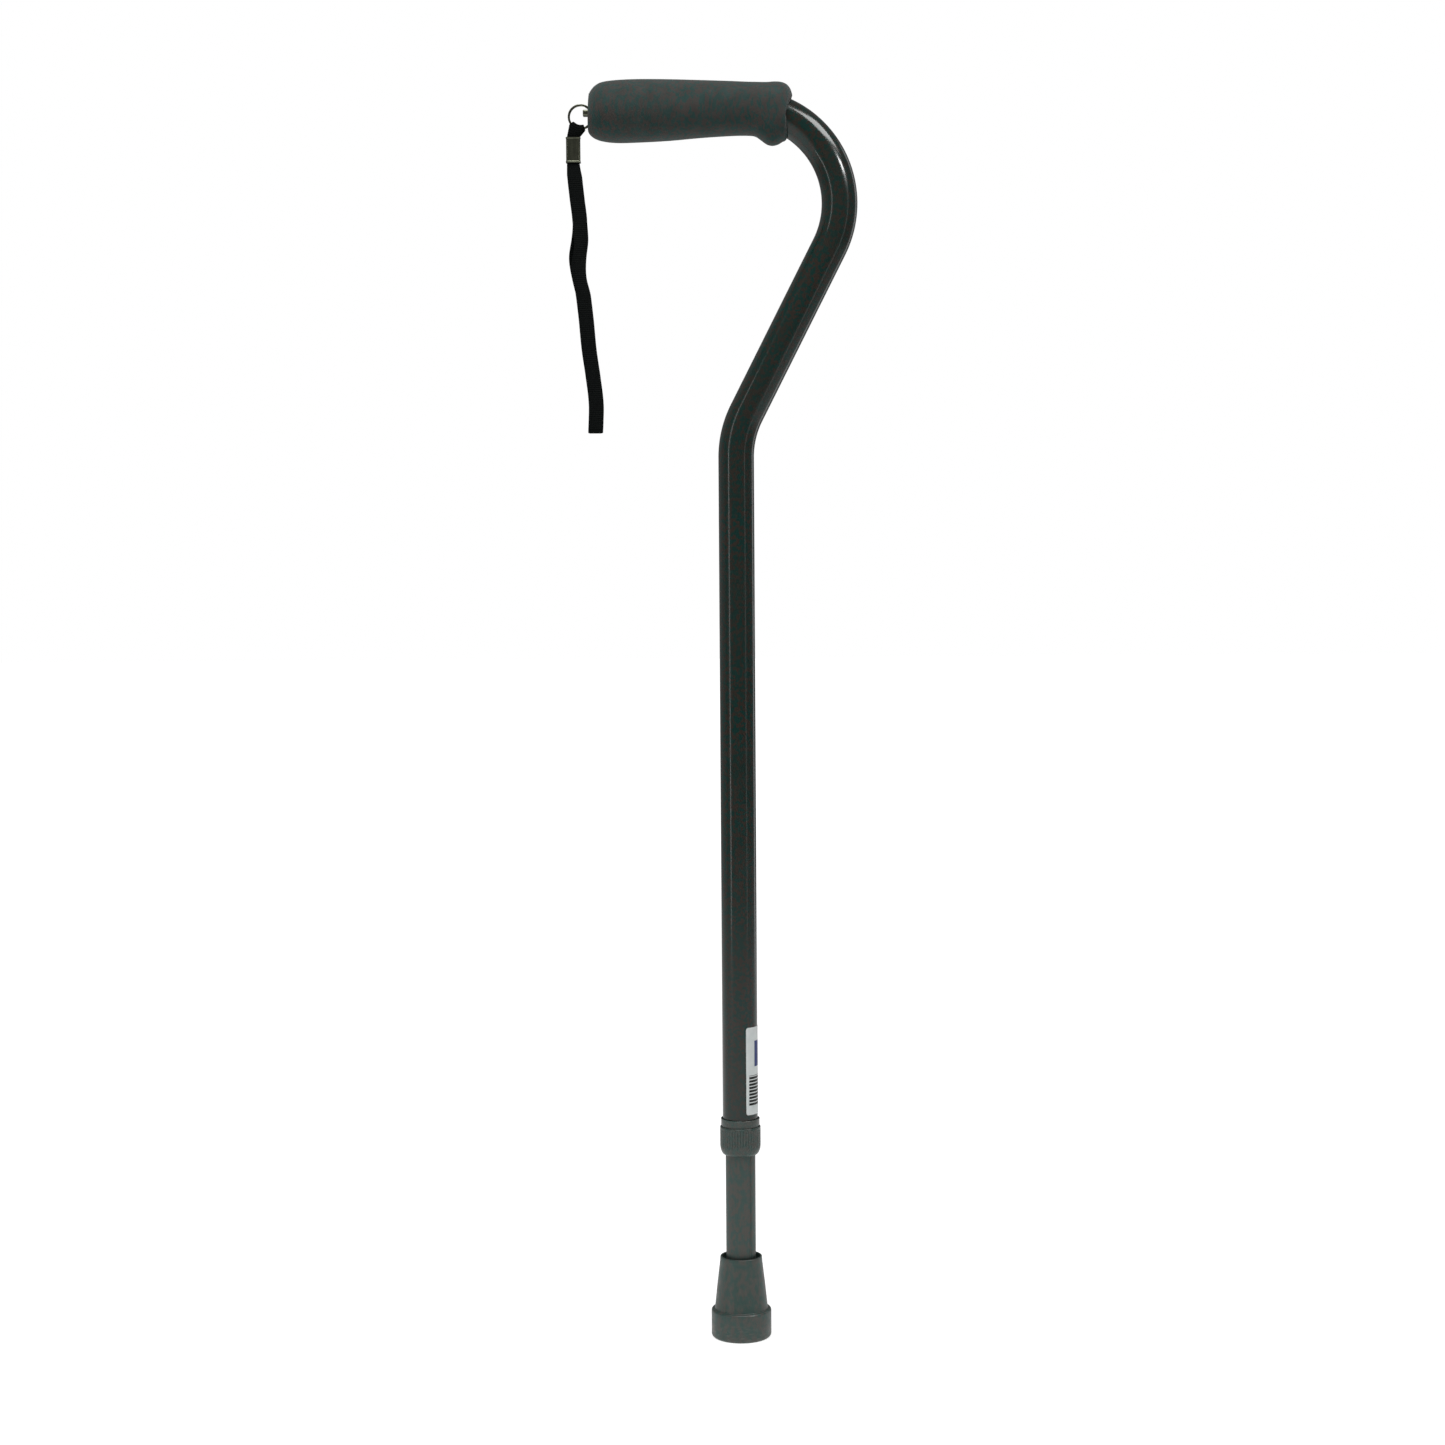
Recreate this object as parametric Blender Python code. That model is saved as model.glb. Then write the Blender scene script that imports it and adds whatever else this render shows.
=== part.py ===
"""Offset-handle walking cane with a height-adjustable aluminium shaft.

Frame: +Z runs up the shaft and the origin is the centre of the rubber tip's underside. The grip's free end points
towards -X, and the row of height holes faces +Y. Lengths are in metres, written as millimetres times MM.
"""

import math

import bmesh
import bpy
from mathutils import Matrix, Vector

MM = 0.001
GAP = 0.3 * MM  # clearance between pieces that touch

# Shaft
UPPER_RADIUS = 11.2 * MM
UPPER_WALL = 1.25 * MM
UPPER_BORE = UPPER_RADIUS - UPPER_WALL
LOWER_RADIUS = 9.5 * MM
LOWER_WALL = 1.2 * MM
LOWER_BORE = LOWER_RADIUS - LOWER_WALL
LOWER_TOP_Z = 403.0 * MM
TUBE_SIDES = 24

# Bends of the upper tube, in the XZ plane
LOWER_BEND_VERTEX_Z = 576.3 * MM
LOWER_BEND_RADIUS = 61.0 * MM
SLANT = math.radians(27.0)
UPPER_BEND_RADIUS = 59.6 * MM
HANDLE_TOP_Z = 779.0 * MM  # highest point of the tube's centreline
HANDLE_DROOP = math.radians(1.7)  # the handle runs slightly down towards its free end
HANDLE_END_X = -81.3 * MM

# Height adjustment: ten holes, one inch apart, with the button in the second from the top
HOLE_PITCH = 25.4 * MM
HOLES_ABOVE_BUTTON = 1
HOLES_BELOW_BUTTON = 8
HOLE_RADIUS = 3.4 * MM
BUTTON_Z = 368.0 * MM
BUTTON_RADIUS = 3.1 * MM
BUTTON_TIP_Y = 14.0 * MM
BUTTON_DOME = 1.6 * MM
BUTTON_FLANGE_RADIUS = 4.4 * MM
BUTTON_FLANGE_Y = (5.6 * MM, 6.6 * MM)
SPRING_WIDTH = 8.0 * MM
SPRING_THICKNESS = 0.5 * MM

# Locking collar, its heights counted from the nut's underside
COLLAR_Z = 118.3 * MM
SLEEVE_TOP_Z = COLLAR_Z + 23.4 * MM
SLEEVE_STEP_Z = COLLAR_Z + 18.9 * MM
SLEEVE_BOTTOM_Z = COLLAR_Z + 2.8 * MM
SLEEVE_RADIUS = 12.3 * MM
SLEEVE_NECK_RADIUS = 11.9 * MM
NUT_TOP_Z = COLLAR_Z + 18.3 * MM
UPPER_END_Z = COLLAR_Z + 12.9 * MM  # the upper tube ends inside the sleeve
NUT_RADIUS = 12.95 * MM
NUT_RIB_DEPTH = 0.2 * MM
NUT_RIBS = 20
THREAD_PITCH = 2.5 * MM
THREAD_STEPS = 16  # per turn
SLEEVE_THREAD_ROOT = 11.6 * MM
SLEEVE_THREAD_CREST = 12.2 * MM
NUT_THREAD_ROOT = 12.5 * MM
NUT_THREAD_CREST = 11.9 * MM

# Rubber tip
FERRULE_TOP_Z = 52.4 * MM
FERRULE_BASE_RADIUS = 19.0 * MM
FERRULE_LEDGE_Z = 20.2 * MM
FERRULE_FLOOR_Z = 10.0 * MM
WASHER_THICKNESS = 1.5 * MM
TREAD_DEPTH = 1.0 * MM

# Strap fittings at the free end of the grip
RING_CENTRE = Vector((-95.8, 0.0, 773.6)) * MM
RING_RADIUS = 7.26 * MM  # to the middle of the wire
RING_WIRE_RADIAL = 1.35 * MM
RING_WIRE_AXIAL = 0.8 * MM
RING_COIL_PITCH = 1.1 * MM
RING_START_ANGLE = math.radians(100.0)
RING_STEP_ANGLE = math.radians(34.0)  # the part of a turn in which the wire steps across
RING_END_GAP = math.radians(3.0)
STUD_Z = 775.8 * MM
STUD_TIP_X = -94.2 * MM
STUD_HEIGHT = 3.75 * MM
STUD_WIDTH = 6.4 * MM
STUD_HOLE_X = -89.1 * MM
STUD_HOLE_RADIUS = 1.9 * MM
SHANK_RADIUS = 1.7 * MM
PLUG_FLANGE = 1.5 * MM
PLUG_LENGTH = 12.0 * MM
STUD_WASHER = 1.0 * MM

# Wrist strap: one length of flat webbing
STRAP_WIDTH = 9.2 * MM
STRAP_THICKNESS = 1.4 * MM
STRAP_FOLD_ANGLE = math.radians(-13.0)  # middle of the fold on the ring, from straight down
STRAP_FOLD_SPREAD = math.radians(34.0)
FOLD_SIDE_Y = 2.15 * MM  # the fold's layers stand this far to each side of the ring's middle plane
FOLD_START = 1.2 * MM  # the fold starts this far outside the wire's middle line
FOLD_RISE = 1.75 * MM  # and reaches this far inside it
STRAP_JOINT_Z = 753.0 * MM  # the webbing's two ends meet here, inside the crimp
STRAP_JOINT_GAP = 0.7 * MM
CRIMP_X = -100.5 * MM
CRIMP_TOP_Z = 761.0 * MM
CRIMP_BOTTOM_Z = 745.2 * MM
CRIMP_WIDTH = 9.3 * MM
CRIMP_DEPTH = 5.6 * MM
CRIMP_WALL = 0.5 * MM
LAYER_OFFSET = 1.05 * MM  # from the strap's middle to each layer inside the crimp
LOOP_OFFSET = 2.0 * MM  # the same at the bottom of the loop
LOOP_BULGE = 1.0 * MM
STRAP_BOTTOM_Z = 577.1 * MM
# The hanging loop's middle line: x and z of points chosen by hand along it
STRAP_ROUTE = (
    (-100.5, 762.0),
    (-100.5, 753.0),
    (-100.5, 744.5),
    (-99.6, 735.0),
    (-98.3, 722.5),
    (-96.9, 710.0),
    (-96.9, 698.5),
    (-98.4, 686.0),
    (-97.7, 675.0),
    (-95.2, 664.0),
    (-93.4, 648.0),
    (-91.8, 629.5),
    (-89.3, 611.0),
    (-87.7, 596.0),
    (-87.9, 584.0),
    (-88.3, 575.5),
)
STRAP_TWIST = math.radians(30.0)
STRAP_TWIST_Z = 691.0 * MM
STRAP_TWIST_REACH = 11.0 * MM

# Foam grip, from the free end to the bend: x and z of the outline's upper edge and of its lower edge, half width
GRIP_STATIONS = (
    ((-91.1, 787.7), (-91.1, 764.4), 11.8),
    ((-90.8, 788.5), (-90.8, 763.8), 12.4),
    ((-89.5, 790.4), (-89.5, 762.2), 14.1),
    ((-86.8, 792.9), (-86.8, 760.2), 16.4),
    ((-82.0, 794.8), (-82.0, 758.6), 18.3),
    ((-73.4, 795.9), (-73.4, 757.6), 19.3),
    ((-60.0, 796.4), (-60.0, 757.8), 19.5),
    ((-40.7, 796.2), (-40.7, 758.7), 18.9),
    ((-21.4, 795.6), (-21.4, 760.3), 18.0),
    ((-2.2, 794.9), (-2.2, 761.4), 17.1),
    ((8.4, 794.4), (8.4, 761.5), 16.8),
    ((13.2, 794.3), (13.2, 760.9), 16.7),
    ((17.0, 794.2), (16.7, 758.6), 16.6),
    ((20.9, 794.2), (20.3, 756.0), 16.6),
    ((25.2, 794.5), (23.8, 755.1), 16.5),
    ((29.5, 794.2), (27.4, 755.9), 16.2),
    ((33.0, 792.7), (30.1, 757.5), 15.4),
    ((35.3, 789.8), (31.7, 758.1), 13.8),
    ((36.4, 786.2), (32.5, 758.9), 11.9),
)
GRIP_END_SIDE_X = 31.8 * MM  # the end face bows back at the grip's sides
GRIP_END_LEAN = (math.radians(8.2), math.radians(1.8))  # below and above the side
GRIP_BORE_X = [x * MM for x in (26.0, 20.0, 14.0, 9.0, 4.0, -83.0, -88.5)]  # sections of the bore
GRIP_MOUTH_X = -90.8 * MM
GRIP_MOUTH_FLARE = 0.3 * MM
GRIP_SIDES = 32

# Sticker on the shaft: it starts near the front (-Y) and wraps round the +X side
LABEL_Z = (145.2 * MM, 201.2 * MM)
LABEL_ANGLES = (math.radians(-70.0), math.radians(56.0))
LABEL_CORNER = 4.0 * MM


def clear_scene():
    for old in list(bpy.data.objects):
        bpy.data.objects.remove(old)


def material(name, colour, roughness, metallic=0.0):
    made = bpy.data.materials.new(name)
    made.use_nodes = True
    shader = made.node_tree.nodes["Principled BSDF"]
    shader.inputs["Base Color"].default_value = (*colour, 1.0)
    shader.inputs["Roughness"].default_value = roughness
    shader.inputs["Metallic"].default_value = metallic
    made.diffuse_color = (*colour, 1.0)
    return made


def add_empty(name, location, parent=None):
    """An empty on a joint's axis, at a place given in world coordinates."""
    empty = bpy.data.objects.new(name, None)
    empty.empty_display_size = 0.02
    bpy.context.collection.objects.link(empty)
    place(empty, location, parent)
    return empty


def place(obj, location, parent):
    """Put an object at a world location under a parent that is neither turned nor scaled."""
    origin = world_location(parent) if parent else Vector()
    obj.parent = parent
    obj.location = Vector(location) - origin


def world_location(obj):
    total = Vector()
    while obj:
        total += obj.location
        obj = obj.parent
    return total


def add_piece(name, bm, finish, parent, origin=(0.0, 0.0, 0.0), sharp=35.0):
    """Turn a bmesh drawn in world coordinates into a named object whose origin is the given point."""
    bmesh.ops.recalc_face_normals(bm, faces=bm.faces)
    bmesh.ops.translate(bm, verts=bm.verts, vec=-Vector(origin))
    mesh = bpy.data.meshes.new(name)
    bm.to_mesh(mesh)
    bm.free()
    mesh.materials.append(finish)
    mesh.shade_smooth()
    mesh.set_sharp_from_angle(angle=math.radians(sharp))
    obj = bpy.data.objects.new(name, mesh)
    bpy.context.collection.objects.link(obj)
    place(obj, origin, parent)
    return obj


def add_boolean(target, bm, name, operation):
    """Join or cut a piece with a hidden tool object drawn in world coordinates."""
    bmesh.ops.recalc_face_normals(bm, faces=bm.faces)
    mesh = bpy.data.meshes.new(name)
    bm.to_mesh(mesh)
    bm.free()
    tool = bpy.data.objects.new(name, mesh)
    tool.hide_render = True
    tool.display_type = "WIRE"
    bpy.context.collection.objects.link(tool)
    place(tool, world_location(target), target)
    mesh.transform(tool_offset(target))
    cut = target.modifiers.new(name, "BOOLEAN")
    cut.operation = operation
    cut.solver = "EXACT"
    cut.object = tool
    return tool


def tool_offset(target):
    """The move that keeps a tool's mesh in place when its origin is put on the target's."""
    return Matrix.Translation(-world_location(target))


def join_rings(bm, rings, loop=False):
    """Faces between successive rings of points; a loop also joins the last ring to the first."""
    made = [[bm.verts.new(point) for point in ring] for ring in rings]
    pairs = list(zip(made, made[1:]))
    if loop:
        pairs.append((made[-1], made[0]))
    count = len(rings[0])
    for low, high in pairs:
        for i in range(count):
            j = (i + 1) % count
            bm.faces.new((low[i], low[j], high[j], high[i]))
    return made


def solid_of_rings(rings):
    """A closed body from rings of points, with a flat face on each end ring."""
    bm = bmesh.new()
    made = join_rings(bm, rings)
    bm.faces.new(made[0])
    bm.faces.new(made[-1])
    return bm


def hollow_of_rings(rings):
    """A closed body with a hole through it, from rings that run out along the outside and back inside."""
    bm = bmesh.new()
    join_rings(bm, rings, loop=True)
    return bm


def circle(radius, z, sides, phase=0.0):
    steps = (phase + math.tau * i / sides for i in range(sides))
    return [Vector((radius * math.cos(a), radius * math.sin(a), z)) for a in steps]


def turned(profile, sides):
    """A hollow turned body: the profile is a closed outline of (radius, z), all of it off the axis."""
    return hollow_of_rings([circle(radius, z, sides) for radius, z in profile])


def turned_solid(profile, sides):
    """A solid turned body: the profile runs from its bottom edge to its top edge."""
    return solid_of_rings([circle(radius, z, sides) for radius, z in profile])


def arc(centre, radius, start, end, steps):
    """Points of an arc in a plane, its angles in degrees."""
    angles = (math.radians(start + (end - start) * i / steps) for i in range(steps + 1))
    return [(centre[0] + radius * math.cos(a), centre[1] + radius * math.sin(a)) for a in angles]


def aim(bm, origin, direction):
    """Turn a body drawn along +Z so that it runs from a point in a direction."""
    turn = Vector((0.0, 0.0, 1.0)).rotation_difference(Vector(direction)).to_matrix().to_4x4()
    turn.translation = Vector(origin)
    bmesh.ops.transform(bm, matrix=turn, verts=bm.verts)
    return bm


def cylinder(radius, length, sides, origin, direction):
    return aim(turned_solid([(radius, 0.0), (radius, length)], sides), origin, direction)


def lower_bend_start_z():
    return LOWER_BEND_VERTEX_Z - LOWER_BEND_RADIUS * math.tan(SLANT / 2.0)


def upper_bend_centre():
    """Centre of the bend that is tangent to the slanted stretch, as (x, z)."""
    z = HANDLE_TOP_Z - UPPER_BEND_RADIUS
    x = ((z - LOWER_BEND_VERTEX_Z) * math.sin(SLANT) - UPPER_BEND_RADIUS) / math.cos(SLANT)
    return x, z


def bend_station(centre, radius, angle):
    """Point at an angle round a bend's centre in the XZ plane, and the direction away from that centre."""
    outward = Vector((math.cos(angle), 0.0, math.sin(angle)))
    return Vector((centre[0], 0.0, centre[1])) + outward * radius, outward


def handle_station(x):
    """Centreline point of the handle above a given x, and the direction to the tube's upper side."""
    centre = upper_bend_centre()
    end_angle = math.pi / 2.0 + HANDLE_DROOP
    end, outward = bend_station(centre, UPPER_BEND_RADIUS, end_angle)
    if x > end.x:
        return bend_station(centre, UPPER_BEND_RADIUS, math.acos((x - centre[0]) / UPPER_BEND_RADIUS))
    return Vector((x, 0.0, end.z + (x - end.x) * math.tan(HANDLE_DROOP))), outward


def centreline():
    """Stations of the upper tube from the collar to the free end: (point, direction to the outer side)."""
    start_z = lower_bend_start_z()
    stations = [(Vector((0.0, 0.0, UPPER_END_Z)), Vector((1.0, 0.0, 0.0)))]
    for i in range(5):
        turn = SLANT * i / 4.0
        outward = Vector((math.cos(turn), 0.0, -math.sin(turn)))
        stations.append((Vector((LOWER_BEND_RADIUS, 0.0, start_z)) - outward * LOWER_BEND_RADIUS, outward))
    first = -SLANT
    last = math.pi / 2.0 + HANDLE_DROOP
    for i in range(15):
        stations.append(bend_station(upper_bend_centre(), UPPER_BEND_RADIUS, first + (last - first) * i / 14.0))
    stations.append(handle_station(HANDLE_END_X))
    return stations


def section(station, radius, sides=TUBE_SIDES):
    """A circle across the tube at a station."""
    point, outward = station
    ring = []
    for i in range(sides):
        a = math.tau * i / sides
        ring.append(point + outward * (radius * math.sin(a)) + Vector((0.0, radius * math.cos(a), 0.0)))
    return ring


def hole_heights():
    steps = range(-HOLES_BELOW_BUTTON, HOLES_ABOVE_BUTTON + 1)
    return [BUTTON_Z + HOLE_PITCH * step for step in steps]


def hole_cutter(heights, reach):
    """One tool with a short cylinder through the +Y wall at each height."""
    bm = bmesh.new()
    for z in heights:
        lower = []
        upper = []
        for corner in circle(HOLE_RADIUS, 0.0, 16):
            lower.append(bm.verts.new((corner.x, reach[0], z + corner.y)))
            upper.append(bm.verts.new((corner.x, reach[1], z + corner.y)))
        bm.faces.new(lower)
        bm.faces.new(upper)
        for i in range(len(lower)):
            j = (i + 1) % len(lower)
            bm.faces.new((lower[i], lower[j], upper[j], upper[i]))
    return bm


def make_upper_tube(finish, parent):
    stations = centreline()
    outside = [section(station, UPPER_RADIUS) for station in stations]
    inside = [section(station, UPPER_BORE) for station in reversed(stations)]
    tube = add_piece("upper_tube", hollow_of_rings(outside + inside), finish, parent)
    cutter = hole_cutter(hole_heights(), (5.0 * MM, 15.0 * MM))
    add_boolean(tube, cutter, "height_hole_cutter", "DIFFERENCE")


def make_lower_tube(finish, parent):
    bottom = FERRULE_FLOOR_Z + WASHER_THICKNESS + 2.0 * GAP
    profile = [
        (LOWER_RADIUS, LOWER_TOP_Z),
        (LOWER_RADIUS, bottom),
        (LOWER_BORE, bottom),
        (LOWER_BORE, LOWER_TOP_Z),
    ]
    tube = add_piece("lower_tube", turned(profile, TUBE_SIDES), finish, parent)
    cutter = hole_cutter([BUTTON_Z], (4.0 * MM, 12.0 * MM))
    add_boolean(tube, cutter, "button_hole_cutter", "DIFFERENCE")


def make_glide_cap(finish, parent):
    """A flanged plastic cap in the top of the lower tube that keeps it centred in the upper tube."""
    flange = LOWER_RADIUS + 0.15 * MM
    insert = LOWER_BORE - GAP
    seat = LOWER_TOP_Z + GAP
    profile = [
        (flange - 0.6 * MM, seat + 2.4 * MM),
        (flange, seat + 1.8 * MM),
        (flange, seat),
        (insert, seat),
        (insert, seat - 11.0 * MM),
        (insert - 0.8 * MM, seat - 12.0 * MM),
        (insert - 2.0 * MM, seat - 12.0 * MM),
        (insert - 2.0 * MM, seat + 2.4 * MM),
    ]
    add_piece("glide_cap", turned(profile, 24), finish, parent)


def tread_profile():
    """Underside of the tip from its centre outwards: a flat pad and two rings, with grooves between them."""
    edges = []
    for inner, outer in ((6.0, 7.4), (10.4, 11.8)):
        edges += [
            (inner * MM, 0.0),
            (inner * MM, TREAD_DEPTH),
            (outer * MM, TREAD_DEPTH),
            (outer * MM, 0.0),
        ]
    return edges


def make_ferrule(finish, parent):
    """Rubber tip: a wide base, a ledge, a cone and a hollow rim round the tube."""
    base = FERRULE_BASE_RADIUS
    socket = LOWER_RADIUS + GAP
    fillet = arc((base - 2.2 * MM, 2.2 * MM), 2.2 * MM, -90.0, 0.0, 3)
    ledge = arc((base - 1.5 * MM, FERRULE_LEDGE_Z - 1.5 * MM), 1.3 * MM, 0.0, 90.0, 2)
    rim = arc((12.5 * MM, FERRULE_TOP_Z - 0.9 * MM), 0.9 * MM, 0.0, 180.0, 4)
    profile = tread_profile() + fillet + ledge
    profile += [(16.8 * MM, FERRULE_LEDGE_Z + 0.2 * MM), (15.2 * MM, 35.0 * MM)]
    profile += rim
    profile += [
        (11.6 * MM, 48.6 * MM),
        (socket, 47.6 * MM),
        (socket, FERRULE_FLOOR_Z),
    ]
    add_piece("ferrule", turned_solid(profile, 36), finish, parent, sharp=30.0)


def make_ferrule_washer(finish, parent):
    z = FERRULE_FLOOR_Z + GAP
    profile = [(9.2 * MM, z), (9.2 * MM, z + WASHER_THICKNESS)]
    add_piece("ferrule_washer", turned_solid(profile, 24), finish, parent)


def helical_ridge(root, crest, z_range):
    """A closed trapezoid ridge along a right-handed helix; it fades out at both ends."""
    low, high = z_range
    turns = (high - low) / THREAD_PITCH
    count = int(turns * THREAD_STEPS)
    direction = 1.0 if crest > root else -1.0
    rings = []
    for i in range(count + 1):
        angle = math.tau * turns * i / count
        z = low + (high - low) * i / count
        fade = min(1.0, 4.0 * i / THREAD_STEPS, 4.0 * (count - i) / THREAD_STEPS)
        tip = root + (crest - root) * max(fade, 0.1)
        base = root - direction * 0.15 * MM
        corners = ((base, -0.5 * MM), (tip, -0.2 * MM), (tip, 0.2 * MM), (base, 0.5 * MM))
        rings.append([Vector((r * math.cos(angle), r * math.sin(angle), z + dz)) for r, dz in corners])
    return solid_of_rings(rings)


def make_collar_sleeve(finish, parent):
    """Plastic sleeve on the end of the upper tube: a plain ring above, a thread and a tapered mouth below."""
    shoulder = UPPER_END_Z - GAP
    socket = UPPER_RADIUS + GAP
    profile = [
        (SLEEVE_RADIUS - 0.7 * MM, SLEEVE_TOP_Z),
        (SLEEVE_RADIUS - 0.2 * MM, SLEEVE_TOP_Z - 0.2 * MM),
        (SLEEVE_RADIUS, SLEEVE_TOP_Z - 0.7 * MM),
        (SLEEVE_RADIUS, SLEEVE_STEP_Z + 0.3 * MM),
        (SLEEVE_RADIUS - 0.2 * MM, SLEEVE_STEP_Z),
        (SLEEVE_NECK_RADIUS, SLEEVE_STEP_Z),
        (SLEEVE_NECK_RADIUS, COLLAR_Z + 13.8 * MM),
        (SLEEVE_THREAD_ROOT, COLLAR_Z + 13.3 * MM),
        (SLEEVE_THREAD_ROOT, SLEEVE_BOTTOM_Z + 0.3 * MM),
        (SLEEVE_THREAD_ROOT - 0.3 * MM, SLEEVE_BOTTOM_Z),
        (11.0 * MM, SLEEVE_BOTTOM_Z),
        (LOWER_RADIUS + 0.5 * MM, COLLAR_Z + 8.6 * MM),
        (LOWER_RADIUS + 0.5 * MM, shoulder),
        (socket, shoulder),
        (socket, SLEEVE_TOP_Z),
    ]
    sleeve = add_piece("collar_sleeve", turned(profile, 36), finish, parent)
    ridge = helical_ridge(SLEEVE_THREAD_ROOT, SLEEVE_THREAD_CREST, (COLLAR_Z + 4.0 * MM, COLLAR_Z + 12.4 * MM))
    add_boolean(sleeve, ridge, "sleeve_thread", "UNION")


def nut_outside(z_and_radius, ribs):
    """A ring of the nut's outer surface; on a ribbed stretch every second point lies in a groove."""
    z, radius, ribbed = z_and_radius
    ring = []
    for i in range(2 * ribs):
        angle = math.tau * i / (2 * ribs)
        r = radius - (NUT_RIB_DEPTH if ribbed and i % 2 else 0.0)
        ring.append(Vector((r * math.cos(angle), r * math.sin(angle), z)))
    return ring


def make_lock_nut(finish, parent, origin):
    """Ribbed nut with a rounded lower end and an internal thread."""
    stretches = [
        (NUT_TOP_Z, NUT_RADIUS - 0.5 * MM, False),
        (NUT_TOP_Z - 0.15 * MM, NUT_RADIUS - 0.15 * MM, False),
        (NUT_TOP_Z - 0.5 * MM, NUT_RADIUS, False),
        (NUT_TOP_Z - 1.1 * MM, NUT_RADIUS, False),
        (NUT_TOP_Z - 1.3 * MM, NUT_RADIUS, True),
        (COLLAR_Z + 7.8 * MM, NUT_RADIUS, True),
        (COLLAR_Z + 6.8 * MM, NUT_RADIUS, False),
    ]
    for i in range(1, 6):
        a = math.radians(16.0 * i)
        radius = NUT_RADIUS - 2.9 * MM * (1.0 - math.cos(a))
        stretches.append((COLLAR_Z + 6.8 * MM * (1.0 - math.sin(a)), radius, False))
    stretches.append((COLLAR_Z, 10.3 * MM, False))
    rings = [nut_outside(stretch, NUT_RIBS) for stretch in stretches]
    inside = [
        (LOWER_RADIUS + 0.4 * MM, COLLAR_Z),
        (LOWER_RADIUS + 0.4 * MM, COLLAR_Z + 0.9 * MM),
        (11.6 * MM, COLLAR_Z + 1.1 * MM),
        (NUT_THREAD_ROOT - 0.4 * MM, COLLAR_Z + 3.8 * MM),
        (NUT_THREAD_ROOT, COLLAR_Z + 4.4 * MM),
        (NUT_THREAD_ROOT, COLLAR_Z + 13.6 * MM),
        (SLEEVE_NECK_RADIUS + GAP, COLLAR_Z + 14.0 * MM),
        (SLEEVE_NECK_RADIUS + GAP, NUT_TOP_Z),
    ]
    rings += [circle(radius, z, 2 * NUT_RIBS) for radius, z in inside]
    nut = add_piece("lock_nut", hollow_of_rings(rings), finish, parent, origin, sharp=25.0)
    low = COLLAR_Z + 4.0 * MM + 0.5 * THREAD_PITCH
    ridge = helical_ridge(NUT_THREAD_ROOT, NUT_THREAD_CREST, (low, COLLAR_Z + 12.8 * MM))
    add_boolean(nut, ridge, "nut_thread", "UNION")


def make_collet(finish, parent, origin):
    """Split tapered ring between the sleeve's mouth and the nut's floor."""
    inner = LOWER_RADIUS + 0.2 * MM
    outline = [
        (inner, COLLAR_Z + 1.4 * MM),
        (11.0 * MM, COLLAR_Z + 1.4 * MM),
        (11.0 * MM, COLLAR_Z + 2.4 * MM),
        (10.6 * MM, COLLAR_Z + 2.5 * MM),
        (10.05 * MM, COLLAR_Z + 6.6 * MM),
        (inner, COLLAR_Z + 6.6 * MM),
    ]
    slit = math.radians(4.0)
    steps = 30
    rings = []
    for i in range(steps + 1):
        angle = slit + (math.tau - 2.0 * slit) * i / steps
        rings.append([Vector((r * math.cos(angle), r * math.sin(angle), z)) for r, z in outline])
    add_piece("collet", solid_of_rings(rings), finish, parent, origin)


def make_snap_button(finish, parent, origin):
    """Domed button with a flange that keeps it inside the lower tube."""
    flange_back, flange_front = BUTTON_FLANGE_Y
    shoulder = BUTTON_TIP_Y - BUTTON_DOME
    profile = [
        (BUTTON_FLANGE_RADIUS, flange_back),
        (BUTTON_FLANGE_RADIUS, flange_front),
        (BUTTON_RADIUS, flange_front),
        (BUTTON_RADIUS, shoulder),
        (BUTTON_RADIUS * 0.88, BUTTON_TIP_Y - 0.75 * MM),
        (BUTTON_RADIUS * 0.6, BUTTON_TIP_Y - 0.2 * MM),
        (BUTTON_RADIUS * 0.25, BUTTON_TIP_Y),
    ]
    bm = aim(turned_solid(profile, 24), (0.0, 0.0, BUTTON_Z), (0.0, 1.0, 0.0))
    add_piece("snap_button", bm, finish, parent, origin)


def strip(path, width, thickness):
    """A flat strip along a path of (y, z) points, its width along X."""
    points = [Vector((0.0, y, z)) for y, z in path]
    rings = []
    for i, point in enumerate(points):
        along = (points[min(i + 1, len(points) - 1)] - points[max(i - 1, 0)]).normalized()
        normal = Vector((0.0, -along.z, along.y)) * (thickness / 2.0)
        side = Vector((width / 2.0, 0.0, 0.0))
        rings.append([point - side - normal, point + side - normal, point + side + normal, point - side + normal])
    return solid_of_rings(rings)


def make_button_spring(finish, parent):
    """V-shaped leaf: one leg behind the button, the other against the far wall of the lower tube."""
    front = BUTTON_FLANGE_Y[0] - GAP - SPRING_THICKNESS / 2.0
    back = -6.3 * MM
    low = BUTTON_Z - 40.0 * MM
    path = [(front, BUTTON_Z + 8.0 * MM), (front, BUTTON_Z - 7.0 * MM), (front - 0.8 * MM, BUTTON_Z - 12.0 * MM)]
    path += arc((-3.2 * MM, low), 2.6 * MM, 8.0, -188.0, 8)
    path += [(back, BUTTON_Z - 12.0 * MM), (back, BUTTON_Z + 4.0 * MM)]
    add_piece("button_spring", strip(path, SPRING_WIDTH, SPRING_THICKNESS), finish, parent, sharp=50.0)


def grip_ring(upper, lower, half_width, centre):
    """A section of the foam: half an ellipse up to the upper edge and half an ellipse down to the lower edge."""
    top = Vector((upper[0], 0.0, upper[1])) * MM - centre
    bottom = Vector((lower[0], 0.0, lower[1])) * MM - centre
    ring = []
    for i in range(GRIP_SIDES):
        a = math.tau * i / GRIP_SIDES
        height = math.sin(a)
        rise = top * height if height > 0.0 else bottom * -height
        ring.append(centre + rise + Vector((0.0, half_width * MM * math.cos(a), 0.0)))
    return ring


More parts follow.
